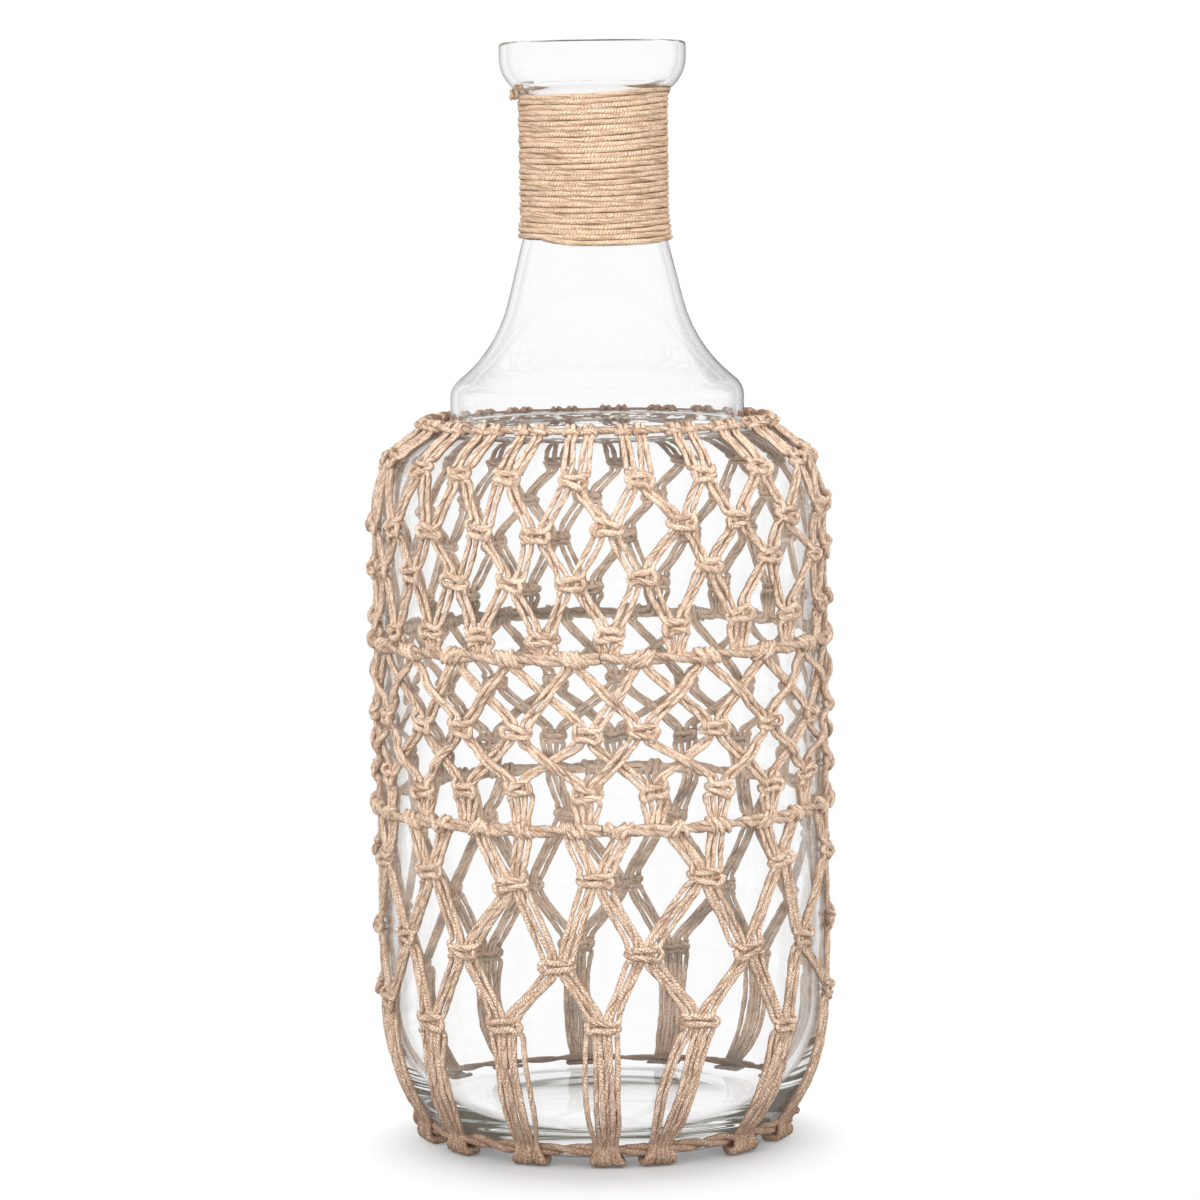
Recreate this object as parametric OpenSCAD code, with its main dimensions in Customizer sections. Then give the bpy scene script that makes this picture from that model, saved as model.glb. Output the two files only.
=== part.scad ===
// Open-mouthed clear glass bottle vase in a knotted jute net, with a twine-wrapped neck.
// The bottle stands on Z = 0 with its axis on Z. Millimetres.

/* [Bottle] */
// Overall height of the bottle
bottle_h = 450; // [430:1:480]
// Outer radius of the body
body_r = 91.4; // [84:0.1:98]
// Thickness of the glass wall
wall = 3; // [2.2:0.1:4]
// Thickness of the glass over the foot
floor_t = 9; // [6:0.5:14]
// Height of the dent under the base
kick_h = 3; // [1:0.5:5]
// Width of the flat ring that the bottle stands on
foot_w = 6; // [4:0.5:10]
// Height at which the heel starts to curve in
heel_h = 54; // [46:1:60]
// How far the heel curves in towards the axis
heel_in = 33.4; // [30:0.1:36]
// Height at which the shoulder starts to curve in
shoulder_z = 259.5; // [256:0.5:264]
// Radius of the rounded shoulder
shoulder_r = 36.9; // [35:0.1:39]
// Outer radius of the drum that stands on the shoulder
drum_r = 60.4; // [58:0.1:62]
// Height of the drum's straight side
drum_h = 7.8; // [5:0.1:10]
// Radius of the rounded top edge of the drum
drum_edge_r = 9; // [8:0.5:10]

/* [Neck] */
// Outer radius of the straight neck
neck_r = 28.2; // [26:0.1:30]
// Share of the height between the drum and the cup that flares out
flare_share = 0.639; // [0.6:0.001:0.7]
// Share of the flare that is a straight cone between its two curves
cone_share = 0.308; // [0.2:0.002:0.35]
// Lean of the cone, in degrees
cone_lean = 14; // [12:1:16]
// Radius of the round under the mouth cup
cup_r = 16; // [14:0.5:18]
// Height of the cup's upright rim
lip_h = 6.3; // [5:0.1:8]
// Outer radius of the mouth
mouth_r = 38.2; // [36:0.1:42]

/* [Twine and cords] */
// Thickness of the neck twine
twine_d = 2.28; // [1.8:0.02:2.6]
// Share of the height between the drum and the cup that is wrapped
wrap_share = 0.506; // [0.42:0.002:0.54]
// Thickness of one net strand
strand_d = 2.2; // [1.6:0.1:2.4]
// Thickness of a ring cord, which lies doubled in the bands and the base ring
ring_d = 2.6; // [2:0.1:2.8]
// Room between neighbouring cords, and between a cord and the glass
cord_gap = 0.36; // [0.3:0.02:0.4]

/* [Net] */
// Upper knot columns, each with four strands and a multiple of three
columns = 21; // [18:3:21]
// Turn of the whole net about the bottle, in degrees
net_turn = -1.2; // [-9:0.1:9]
// How far the columns drift from an even spread, in degrees
spread = 5.3; // [0:0.1:6]
// How much higher knot rows 2 to 4 sit on the right, seen from the front
row_tilt = 3; // [0:0.5:4]
// Levels of knot rows 1 to 4, measured up the outside of the glass
row_1 = 276; // [274:0.5:278]
row_2 = 258; // [256:0.5:259]
row_3 = 240; // [238:0.5:241]
row_4 = 218; // [217:0.5:220]
// Level of the upper band
band_1 = 206.7; // [204:0.1:208]
// Levels of knot rows 5 and 6
row_5 = 177.5; // [175:0.5:180]
row_6 = 153.5; // [152:0.5:156]
// Level of the lower band
band_2 = 138.7; // [136:0.1:141]
// Levels of knot rows 7 to 9
row_7 = 118.5; // [116:0.5:121]
row_8 = 88; // [86:0.5:90]
row_9 = 60; // [58:0.5:62]

/* [Hidden] */
$fn = 96;
CHORD_SAG = 0.03;
glass_tint = [0.82, 0.9, 0.88, 0.45];
jute_tint = [0.72, 0.58, 0.42];
ring_tint = [0.66, 0.52, 0.37];
twine_tint = [0.82, 0.67, 0.47];

// Strands and cords counted round the bottle
strands = columns * 4;
cords = strands / 2;
strand_angle = 360 / strands;
column_angle = 360 / columns;

// Glass: the drum's edge, the flare and the cone lean alike where they meet
step_r = 2;
shoulder_x = body_r - shoulder_r;
heel_x = body_r - heel_in;
step_z = shoulder_z + sqrt(pow(shoulder_r + step_r, 2) - pow(drum_r + step_r - shoulder_x, 2));
step_a = atan2(step_z - shoulder_z, drum_r + step_r - shoulder_x);
edge_z = step_z + drum_h;
cup_x = mouth_r - cup_r;
cup_z = bottle_h - lip_h;
collar_r = wall;
collar_z = cup_z - sqrt(pow(cup_r + collar_r, 2) - pow(neck_r + collar_r - cup_x, 2));
collar_a = atan2(collar_z - cup_z, neck_r + collar_r - cup_x);
neck_l = collar_z - edge_z;
cone_h = neck_l * flare_share * cone_share;
bend_h = neck_l * flare_share - cone_h;
flare_lean = 2 * atan2(drum_r - neck_r - cone_h * tan(cone_lean), bend_h);
flare_r = bend_h / sin(flare_lean) - drum_edge_r;
flare_x = drum_r - drum_edge_r + (drum_edge_r + flare_r) * cos(flare_lean);
flare_low = edge_z + bend_h;
flare_z = flare_low + cone_h;
cone_top = flare_z - flare_r * sin(cone_lean);
floor_rise = 2;

// Twine: the stack of turns ends just under the mouth cup
twine_pitch = twine_d;
twine_gap = 0.1;
twine_top = collar_z + twine_d / 4;
twine_turns = round(wrap_share * neck_l / twine_pitch);
twine_bottom = twine_top - twine_turns * twine_pitch;

// Half the width of a strand's square section, as full as a round strand
half_w = strand_d * 0.445;

// Heights of centre lines above the glass: flat, in knots of four and of six, and in crossings
lay_flat = half_w + cord_gap;
lay_4 = lay_flat + cord_gap / 2;
lay_6 = lay_flat + cord_gap * 1.25;
lay_head = lay_flat + cord_gap * 2.8;
lay_rim = lay_flat + cord_gap * 1.1;
lay_leg = lay_6 + cord_gap;
cross_under = lay_flat + cord_gap * 0.8;
cross_over = lay_flat + strand_d * 1.77;
cross_band = cross_over + cord_gap * 2;

// Heights over the ring cords, and of the bar that ties a knot over its other strands
ring_lay = ring_d / 2 + cord_gap / 2;
ring_apart = ring_d * 0.4;
over_band = ring_lay + ring_d / 2 + half_w + cord_gap * 2.4;
over_foot = over_band + strand_d * 0.45;
bar_4 = lay_4 + strand_d * 1.07;
bar_6 = lay_6 + strand_d * 1.2;

// Widths that a strand takes in a leg, in a knot of four and in a knot of six
slot_w = strand_d * 1.07;
slot_4 = strand_d * 1.5;
slot_6 = strand_d * 1.2;
bulge = strand_d * 0.27;
bar_rise = slot_w * 0.52;

// Sideways places of the heads on the shoulder ring and of the wraps on the bands
head_x = strand_d * 1.6;
wrap_1_x = -strand_d * 0.9;
wrap_1_w = strand_d * 1.18;
wrap_2_x = strand_d * 4.1;
wrap_2_w = strand_d * 1.27;

// Levels of the two end rings and of the feet that hang from the lower one
ring_top = shoulder_z + shoulder_r * 1.134;
fold_rise = shoulder_r * 0.12;
ring_low = heel_h * 0.37;
foot_q = heel_h * 0.343;

// Columns crowd most this far from the even net's front
spread_side = 55;

// Row 1 sits higher at the sides, and strands cross below the upper band this far down
rim_lift = shoulder_r * 0.16;
cross_share = 0.57;

// Levels of the knot rows from the shoulder down, the feet last, and their slip to the side
levels = [row_1, row_2, row_3, row_4, row_5, row_6, row_7, row_8, row_9, foot_q];
row_slip = [-1, -1, -1, -1, 1, 2.5, 1.5, 0, 1, 1];

// Slips are given for a body of this radius
slip_unit = body_r / 91;

// Slips of single knots of the handmade net: row, column from the front, way to the side, way up
slips = [
    [0, -4, -5.5, 0], [0, -1, -2.5, 0], [0, 3, 3, 0], [0, 4, 5.5, 0],
    [1, -0.5, -2, -1.5], [1, 1.5, 2.5, 1],
    [2, -1, 0, -2.5], [2, 0, -1, -3.5], [2, 1, -0.5, -2], [2, 2, 0, 1.5], [2, 3, 2, 2], [2, 4, 7, 0],
    [3, -3.5, 0.5, -2], [3, -0.5, 0.5, -2.5], [3, 0.5, 0.5, -2], [3, 2.5, 0, 2.5],
    [4, -3, 4, 0.5], [4, 0, 2, -1], [4, 1, -2.5, 0.5],
    [5, -3, 2, -2], [5, -1, -1, 1.5], [5, 3, -2, -1], [5, 4, -5, 1.5],
    [6, -1, 2, -2], [6, 0, -2, 0], [6, 1, 1.5, 0], [6, 2, -1.5, 3],
    [7, -2.5, 3.5, 2], [7, -0.5, 3, -3], [7, 0.5, -2.5, 1.5], [7, 1.5, 2, -1], [7, 2.5, -6.5, -1],
    [8, -2, 0, -3], [8, -1, -1, 0], [8, 1, -1, 1], [8, 2, 0, -6],
    [9, -3, 3.5, 0], [9, -2, -3, 0], [9, -1, 2, 0], [9, 1, -14.5, 0], [9, 2, -9.5, 0], [9, 3, -18, 0]];

// Names of every node, the net cords numbered round the bottle
function digits(k) = k < 10 ? str("0", k) : str(k);

// Points of an arc about centre c from angle a0 to angle a1, no chord far off the true round
function arc(c, r, a0, a1) =
    let (step = 2 * acos(1 - CHORD_SAG / r), n = max(3, ceil(abs(a1 - a0) / step)))
    [for (i = [0:n]) let (a = a0 + (a1 - a0) * i / n) c + r * [cos(a), sin(a)]];

// Points of a quarter ellipse from the bottom of the heel up to its side
function heel(a, b) =
    let (n = 16)
    [for (i = [0:n]) [heel_x + a * sin(90 * i / n), heel_h - b * cos(90 * i / n)]];

// Side of the glass from the body up to the cup; t is 0 on the outside and wall on the inside
function side(t) = concat(
    arc([shoulder_x, shoulder_z], shoulder_r - t, 0, step_a),
    arc([drum_r + step_r, step_z], step_r + t, 180 + step_a, 180),
    arc([drum_r - drum_edge_r, edge_z], drum_edge_r - t, 0, flare_lean),
    arc([flare_x, flare_low], flare_r + t, 180 + flare_lean, 180 + cone_lean),
    arc([neck_r + flare_r, flare_z], flare_r + t, 180 + cone_lean, 180),
    arc([neck_r + collar_r, collar_z], collar_r + t, 180, 180 + collar_a),
    arc([cup_x, cup_z], cup_r - t, collar_a, 0));

function reversed(v) = [for (i = [len(v) - 1:-1:0]) v[i]];

// A dome's points from its rim at radius r and height z to its top on the axis
function dome(r, z, rise) =
    let (n = 8)
    [for (i = [0:n]) let (x = r * (1 - i / n)) [x, z + rise * (1 - pow(x / r, 2))]];

glass_outline = concat(
    reversed(dome(heel_x - foot_w, 0, kick_h)),
    heel(heel_in, heel_h),
    side(0),
    arc([mouth_r - wall / 2, bottle_h - wall / 2], wall / 2, 0, 180),
    reversed(side(wall)),
    reversed(heel(heel_in - wall, heel_h - floor_t)),
    dome(heel_x, floor_t, floor_rise));

// The outline's neighbours that coincide are dropped
function tidy(v) =
    [for (i = [0:len(v) - 1]) if (norm(v[i] - v[(i + 1) % len(v)]) > 0.01) v[i]];

module glass_bottle() {
    color(glass_tint) rotate_extrude() polygon(tidy(glass_outline));
}

// Outer radius of the glass at height z on the neck, the upper flare and the cone
function neck_at(z) = z >= flare_z ? neck_r
    : z >= cone_top ? neck_r + flare_r - sqrt(pow(flare_r, 2) - pow(flare_z - z, 2))
    : neck_r + flare_r * (1 - cos(cone_lean)) + (cone_top - z) * tan(cone_lean);

// One turn of twine is one bump of the outline
function bump(i) =
    let (z = twine_bottom + twine_pitch * (i + 0.5), r = twine_d / 2, x = neck_at(z) + twine_gap + r)
    [for (a = [-72:24:72]) [x + r * cos(a), z + r * sin(a)]];

module neck_wrap() {
    rows = 12;
    inner = [for (i = [rows:-1:0]) let (z = twine_bottom + (flare_z - twine_bottom) * i / rows)
        [neck_at(z) + twine_gap, z]];
    bumps = [for (i = [0:twine_turns - 1]) each bump(i)];
    color(twine_tint) rotate_extrude()
        polygon(concat([[neck_r + twine_gap, twine_top]], inner, bumps));
}

// Place [radius, height] at level q up the outside of the glass, h off its surface
function off_glass(q, h) =
    q > shoulder_z ?
        let (a = (q - shoulder_z) / shoulder_r * 180 / PI)
        [shoulder_x + (shoulder_r + h) * cos(a), shoulder_z + (shoulder_r + h) * sin(a)]
    : q >= heel_h ? [body_r + h, q]
    : let (a = 90 * (1 - q / heel_h), n = [cos(a) / heel_in, -sin(a) / heel_h])
        [heel_x + heel_in * cos(a), heel_h * (1 - sin(a))] + h * n / norm(n);

module ring_cord(q) {
    color(ring_tint) rotate_extrude() translate(off_glass(q, ring_lay)) circle(d = ring_d);
}

// Two ring cords pressed together, one lying above the other
module double_ring(q) {
    middle = off_glass(q, ring_lay);
    up = unit(off_glass(q + ring_apart, ring_lay) - middle);
    color(ring_tint) rotate_extrude() for (way = [-1, 1])
        translate(middle + way * ring_apart * up) circle(d = ring_d);
}

// Turn about the axis, from the front, of the place t degrees round the even net
function round_at(t) = t + net_turn - spread * sin(t + spread_side);

// A point of the net: t degrees round, x mm to the side, at level q and h off the glass
function place(t, x, q, h, tilt = 0) =
    let (even = off_glass(q, h),
        a = round_at(t) + x / even[0] * 180 / PI,
        p = tilt == 0 ? even : off_glass(q + tilt * sin(a), h))
    [p[0] * sin(a), -p[0] * cos(a), p[1]];

// Sideways place of slot i among n that are w wide
function slot(i, n, w = slot_w) = (i - (n - 1) / 2) * w;

// Place round the even net of a column of the three lower rows and the legs
function low_angle(column) = (1.5 * column + 0.25) * column_angle;

// Slip of the knot of a row at a column, to the side and up
function slip(row, column) =
    let (own = [for (v = slips) if (v[0] == row && v[1] == column) [v[2], v[3]]])
    ([row_slip[row], 0] + (len(own) > 0 ? own[0] : [0, 0])) * slip_unit;

// A point at a knot: x to the side and dq above its middle, h off the glass
function at_knot(row, column, x, dq, h) =
    let (t = row > 5 ? low_angle(column) : column * column_angle, by = slip(row, column),
        lift = row == 0 ? rim_lift * pow(sin(round_at(t)), 2) : 0)
    place(t, x + by[0], levels[row] + dq + by[1] + lift, h, row > 0 && row < 4 ? row_tilt : 0);

// A strand's points at a knot: the first slot's strand turns over the front of the others
function knot(row, column, i) =
    let (n = row > 5 ? 6 : 4, w = n > 4 ? slot_6 : slot_4, lay = n > 4 ? lay_6 : lay_4,
        bar = n > 4 ? bar_6 : bar_4)
    i > 0 ? [at_knot(row, column, slot(i, n, w), 0, lay)]
    : let (left = slot(0, n, w) - bulge, right = slot(n - 1, n, w) + bulge)
        [at_knot(row, column, left, bar_rise, bar), at_knot(row, column, right, 0, bar),
         at_knot(row, column, left, -bar_rise, bar)];

// A point f of the way from one point of the net to another, h off the glass
function midway(a, b, h, f = 0.5) =
    let (m = a + f * (b - a), on_side = norm([m.x, m.y]),
        rise = asin(max(0, min(1, (m.z - shoulder_z) / shoulder_r))),
        out = shoulder_x + (shoulder_r + h) * cos(rise))
    [m.x * out / on_side, m.y * out / on_side, m.z + h * sin(rise)];

// The route of strand g from the shoulder ring down to its foot
function strand_route(g) =
    let (c = floor(g / 4), s = g % 4, u = g % 6,
        back = c > columns / 2 ? columns : 0,
        own = c - back,
        low = floor(g / 6) - back * 2 / 3,
        side = s > 1 ? 1 : -1,
        swap = s - 2 * side,
        low_side = u > 2 ? 1 : -1,
        low_swap = (u + 3) % 6,
        over = columns % 2 == 1 && c == columns - 1 ? side < 0 : c % 2 == 0,
        head = head_place(g),
        turn_1 = knot(0, own, s),
        turn_2 = knot(1, own + side / 2, swap),
        wrap_1 = place(own * column_angle, wrap_1_x + slot(s, 4, wrap_1_w), band_1, over_band),
        turn_5 = knot(4, own + side, swap),
        turn_6 = knot(5, own, s),
        wrap_2 = place(low_angle(low), low_side * wrap_2_x + slot(u % 3, 3, wrap_2_w), band_2, over_band))
    concat(
        [place(own * column_angle, head, ring_top, over_band),
         place(own * column_angle, (head + slot(s, 4, slot_4)) / 2,
            (ring_top + row_1) / 2 + rim_lift / 3, lay_head)],
        turn_1, [midway(turn_1[len(turn_1) - 1], turn_2[0], lay_rim)], turn_2,
        knot(2, own, s), knot(3, own + side / 2, swap),
        [wrap_1], over ? [midway(wrap_1, turn_5[0], cross_band, cross_share)] : [], turn_5,
        [midway(turn_5[len(turn_5) - 1], turn_6[0], over ? cross_over : cross_under)], turn_6,
        [wrap_2],
        knot(6, low, u), knot(7, low + low_side / 2, low_swap), knot(8, low, u),
        [for (n = [1:3]) leg_at(low, u, n / 3)]);

// A point of strand u of a leg, f of the way from its knot to its foot
function leg_at(low, u, f) =
    let (q = levels[8] + (foot_q - levels[8]) * f, x = slip(8, low)[0] * (1 - f) + slip(9, low)[0] * f)
    place(low_angle(low), x + slot(u, 6), q, f < 1 ? lay_leg : over_foot);

// Sideways place of strand g where it hangs from the shoulder ring, two cords to a column
function head_place(g) = (g % 4 > 1 ? head_x : -head_x) + slot(g % 2, 2);

// A cord is one length folded in half behind the shoulder ring
function cord_route(k) =
    let (own = floor(k / 2) * column_angle,
        middle = (head_place(2 * k) + head_place(2 * k + 1)) / 2)
    concat(reversed(strand_route(2 * k)),
        [place(own, middle, ring_top + fold_rise, lay_flat)],
        strand_route(2 * k + 1));

function unit(v) = v / norm(v);

// Way straight out from the glass at point p
function outwards(p) =
    let (r = norm([p.x, p.y]),
        slope = p.z > shoulder_z ? unit([r - shoulder_x, p.z - shoulder_z])
            : p.z >= heel_h ? [1, 0]
            : unit([(r - heel_x) / pow(heel_in, 2), (p.z - heel_h) / pow(heel_h, 2)]))
    [slope[0] * p.x / r, slope[0] * p.y / r, slope[1]];

// Four corners of the strand's section at point i of route v, square to the way it runs
function section(v, i) =
    let (last = len(v) - 1,
        ahead = unit(v[min(i + 1, last)] - v[min(i, last - 1)]),
        behind = unit(v[max(i, 1)] - v[max(i - 1, 0)]),
        along = unit(ahead + behind),
        side = unit(cross(along, outwards(v[i]))),
        up = cross(side, along),
        wide = half_w / max(0.7, along * ahead))
    [for (c = [[-1, -1], [1, -1], [1, 1], [-1, 1]]) v[i] + c[0] * wide * side + c[1] * half_w * up];

// A closed skin of triangles round the sections of a route
module swept(v) {
    last = len(v) - 1;
    points = [for (i = [0:last]) each section(v, i)];
    walls = [for (i = [0:last - 1], j = [0:3]) let (a = 4 * i + j, b = 4 * i + (j + 1) % 4)
        each [[a, b, a + 4], [b, b + 4, a + 4]]];
    first_end = [[0, 2, 1], [0, 3, 2]];
    last_end = [for (f = first_end) [4 * last + f[0], 4 * last + f[2], 4 * last + f[1]]];
    polyhedron(points, concat(walls, first_end, last_end));
}

module net_cord(k) {
    color(jute_tint) swept(cord_route(k));
}

glass_bottle();
neck_wrap();
ring_cord(ring_top);  // shoulder_ring
double_ring(band_1);  // upper_band
double_ring(band_2);  // lower_band
double_ring(ring_low);  // base_ring
for (k = [0:cords - 1])
    net_cord(k);
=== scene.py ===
"""Looks of an open-mouthed clear glass bottle vase in a knotted jute net.

The bottle, its neck twine, the four ring cords and the forty-two net cords are surfaces worked out
with numpy. Lengths are in metres. A place on the net is written as t degrees round the even net,
x to the side, level q up the outside of the glass and height h off the glass.
"""
from __future__ import annotations

import logging
import math
from dataclasses import dataclass, field, replace
from enum import Enum

import bpy
import numpy as np
from mathutils import Matrix, Vector

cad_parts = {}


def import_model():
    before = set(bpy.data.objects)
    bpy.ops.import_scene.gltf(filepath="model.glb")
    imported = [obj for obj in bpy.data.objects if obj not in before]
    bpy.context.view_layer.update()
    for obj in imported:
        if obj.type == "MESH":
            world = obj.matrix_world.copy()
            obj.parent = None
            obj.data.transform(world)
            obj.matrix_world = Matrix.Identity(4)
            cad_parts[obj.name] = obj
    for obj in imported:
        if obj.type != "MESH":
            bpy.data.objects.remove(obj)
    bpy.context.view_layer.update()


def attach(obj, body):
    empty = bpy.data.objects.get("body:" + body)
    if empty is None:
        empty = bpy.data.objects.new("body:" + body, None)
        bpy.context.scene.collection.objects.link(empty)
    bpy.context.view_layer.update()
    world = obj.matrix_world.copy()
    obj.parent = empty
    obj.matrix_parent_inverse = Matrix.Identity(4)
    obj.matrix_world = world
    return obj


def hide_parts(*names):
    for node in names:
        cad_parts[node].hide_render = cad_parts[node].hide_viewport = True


LOG = logging.getLogger("bottle")
MM = 0.001
SEED = 20


class Ply(Enum):
    """Number of plies that a cord is laid up from."""

    TWO = 2
    THREE = 3


@dataclass(frozen=True)
class Glass:
    """Outline of the bottle: profile arcs as in the frame's glass node."""

    height: float = 450 * MM
    body_r: float = 91.4 * MM
    wall: float = 3 * MM
    floor_t: float = 9 * MM
    kick: float = 3 * MM
    foot_w: float = 6 * MM
    heel_h: float = 54 * MM
    heel_in: float = 33.4 * MM
    shoulder_z: float = 259.5 * MM
    shoulder_r: float = 36.9 * MM
    drum_r: float = 60.4 * MM
    drum_h: float = 7.8 * MM
    drum_edge_r: float = 9 * MM
    step_r: float = 2 * MM
    neck_r: float = 28.2 * MM
    flare_lean: float = 52.0
    cone_lean: float = 14.0
    cone_l: float = 24.7 * MM
    cup_r: float = 16 * MM
    lip_h: float = 6.3 * MM
    collar_r: float = 3 * MM
    mouth_r: float = 38.2 * MM
    floor_rise: float = 2 * MM
    turns: int = 224

    @property
    def heel_x(self) -> float:
        """Radius at which the heel's curve meets the foot."""
        return self.body_r - self.heel_in

    @property
    def shoulder_x(self) -> float:
        """Radius of the centre of the shoulder's arc."""
        return self.body_r - self.shoulder_r

    @property
    def flare_r(self) -> float:
        """Radius of the two arcs that lead from the drum into the cone and on into the neck."""
        lean = 1 - math.cos(math.radians(self.flare_lean))
        cone = self.cone_l * math.sin(math.radians(self.cone_lean))
        return (self.drum_r - self.neck_r - cone) / lean - self.drum_edge_r

    @property
    def step_z(self) -> float:
        """Height at which the drum's side starts above the shoulder."""
        reach, across = self.shoulder_r + self.step_r, self.drum_r + self.step_r - self.shoulder_x
        return self.shoulder_z + math.sqrt(reach**2 - across**2)

    @property
    def edge_z(self) -> float:
        """Height at which the drum's side starts to curve in."""
        return self.step_z + self.drum_h

    @property
    def flare_z(self) -> float:
        """Height at which the neck starts to flare out."""
        bend = (self.drum_edge_r + self.flare_r) * math.sin(math.radians(self.flare_lean))
        return self.edge_z + bend + self.cone_l * math.cos(math.radians(self.cone_lean))

    @property
    def cup_z(self) -> float:
        """Height of the centre of the mouth cup's round."""
        return self.height - self.lip_h

    @property
    def collar_z(self) -> float:
        """Height at which the straight neck ends under the mouth cup."""
        reach = self.cup_r + self.collar_r
        across = self.neck_r + self.collar_r - (self.mouth_r - self.cup_r)
        return self.cup_z - math.sqrt(reach**2 - across**2)

    def neck_at(self, z: np.ndarray) -> np.ndarray:
        """Outer radius of the neck: straight, with the flare's circle below and the collar's above."""
        drop = np.clip(self.flare_z - z, 0, self.flare_r)
        rise = np.clip(z - self.collar_z, 0, 0.8 * self.collar_r)
        low = self.flare_r - np.sqrt(self.flare_r**2 - drop**2)
        return self.neck_r + low + self.collar_r - np.sqrt(self.collar_r**2 - rise**2)

    def per_level(self, q: float) -> float:
        """Length of the glass's surface that one unit of level covers, at level q."""
        if q >= self.heel_h:
            return 1.0
        e = (1 - q / self.heel_h) * math.pi / 2
        return math.hypot(self.heel_in * math.sin(e), self.heel_h * math.cos(e)) * math.pi / 2 / self.heel_h

    def off_glass(self, q: np.ndarray, h: np.ndarray) -> tuple[np.ndarray, np.ndarray]:
        """Radius and height of a place at level q, h off the glass.

        Above the shoulder's start q runs along the shoulder's arc, on the body it is the height,
        and below the heel's start it is the share of the heel's quarter ellipse.

        Args:
            q: Levels up the outside of the glass.
            h: Heights off the glass.

        Returns:
            Radii and heights.
        """
        a = np.clip((q - self.shoulder_z) / self.shoulder_r, 0, None)
        top_r = self.shoulder_x + (self.shoulder_r + h) * np.cos(a)
        top_z = self.shoulder_z + (self.shoulder_r + h) * np.sin(a)
        e = np.clip(1 - q / self.heel_h, 0, 1) * np.pi / 2
        nr, nz = np.cos(e) / self.heel_in, -np.sin(e) / self.heel_h
        size = np.hypot(nr, nz)
        low_r = self.heel_x + self.heel_in * np.cos(e) + h * nr / size
        low_z = self.heel_h * (1 - np.sin(e)) + h * nz / size
        top, low = q > self.shoulder_z, q < self.heel_h
        r = np.where(top, top_r, np.where(low, low_r, self.body_r + h))
        return r, np.where(top, top_z, np.where(low, low_z, q))

    def side(self, t: float) -> list[np.ndarray]:
        """Arcs of the wall from the body up to the mouth, t inside the outer face."""
        sx, sz, sr = self.shoulder_x, self.shoulder_z, self.shoulder_r
        px, pz = self.drum_r + self.step_r, self.step_z
        pa = math.degrees(math.atan2(pz - sz, px - sx))
        low, up = math.radians(self.flare_lean), math.radians(self.cone_lean)
        bend = self.drum_edge_r + self.flare_r
        fx = self.drum_r - self.drum_edge_r + bend * math.cos(low)
        fz = self.edge_z + bend * math.sin(low)
        cx, cz = self.mouth_r - self.cup_r, self.cup_z
        ca = math.degrees(math.atan2(self.collar_z - cz, self.neck_r + self.collar_r - cx))
        return [
            arc(sx, sz, sr - t, 0, pa),
            arc(px, pz, self.step_r + t, 180 + pa, 180),
            arc(self.drum_r - self.drum_edge_r, self.edge_z, self.drum_edge_r - t, 0, self.flare_lean),
            arc(fx, fz, self.flare_r + t, 180 + self.flare_lean, 180 + self.cone_lean),
            arc(fx - self.cone_l * math.sin(up), self.flare_z, self.flare_r + t, 180 + self.cone_lean, 180),
            arc(self.neck_r + self.collar_r, self.collar_z, self.collar_r + t, 180, 180 + ca),
            arc(cx, cz, self.cup_r - t, ca, 0),
        ]

    def heel(self, inside: bool) -> np.ndarray:
        """Quarter ellipse from the foot up to the side, on the outer or the inner face."""
        a = self.heel_in - (self.wall if inside else 0)
        b = self.heel_h - (self.floor_t if inside else 0)
        u = np.linspace(0, np.pi / 2, 34)
        return np.column_stack([self.heel_x + a * np.sin(u), self.heel_h - b * np.cos(u)])

    def dome(self, r: float, z: float, rise: float) -> np.ndarray:
        """Parabola from radius r at height z up to the axis, rise above it."""
        x = np.linspace(r, 0, 14)
        return np.column_stack([x, z + rise * (1 - (x / r) ** 2)])

    def outline(self) -> np.ndarray:
        """Whole outline from the dent's middle round the wall to the middle of the floor."""
        lip = arc(self.mouth_r - self.wall / 2, self.height - self.wall / 2, self.wall / 2, 0, 180)
        dent = self.dome(self.heel_x - self.foot_w, 0.0, self.kick)[::-1]
        parts = [dent, self.heel(False), *self.side(0), lip]
        parts += [p[::-1] for p in reversed(self.side(self.wall))]
        parts += [self.heel(True)[::-1], self.dome(self.heel_x, self.floor_t, self.floor_rise)]
        line = np.concatenate(parts)
        keep = np.r_[True, np.hypot(*np.diff(line, axis=0).T) > 0.02 * MM]
        return spread_points(line[keep], 2.2 * MM)


def arc(cx: float, cz: float, r: float, a0: float, a1: float) -> np.ndarray:
    """Points of a circle's arc about (cx, cz) from angle a0 to a1 in degrees."""
    n = max(4, int(abs(a1 - a0) / 5) + 1)
    a = np.radians(np.linspace(a0, a1, n))
    return np.column_stack([cx + r * np.cos(a), cz + r * np.sin(a)])


def spread_points(line: np.ndarray, gap: float) -> np.ndarray:
    """Adds points to a line's long straight runs so that none is longer than gap."""
    runs = []
    for a, b in zip(line[:-1], line[1:]):
        n = max(1, int(np.hypot(*(b - a)) / gap))
        runs.append(a + (b - a) * np.linspace(0, 1, n, endpoint=False)[:, None])
    return np.concatenate([*runs, line[-1:]])


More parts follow.
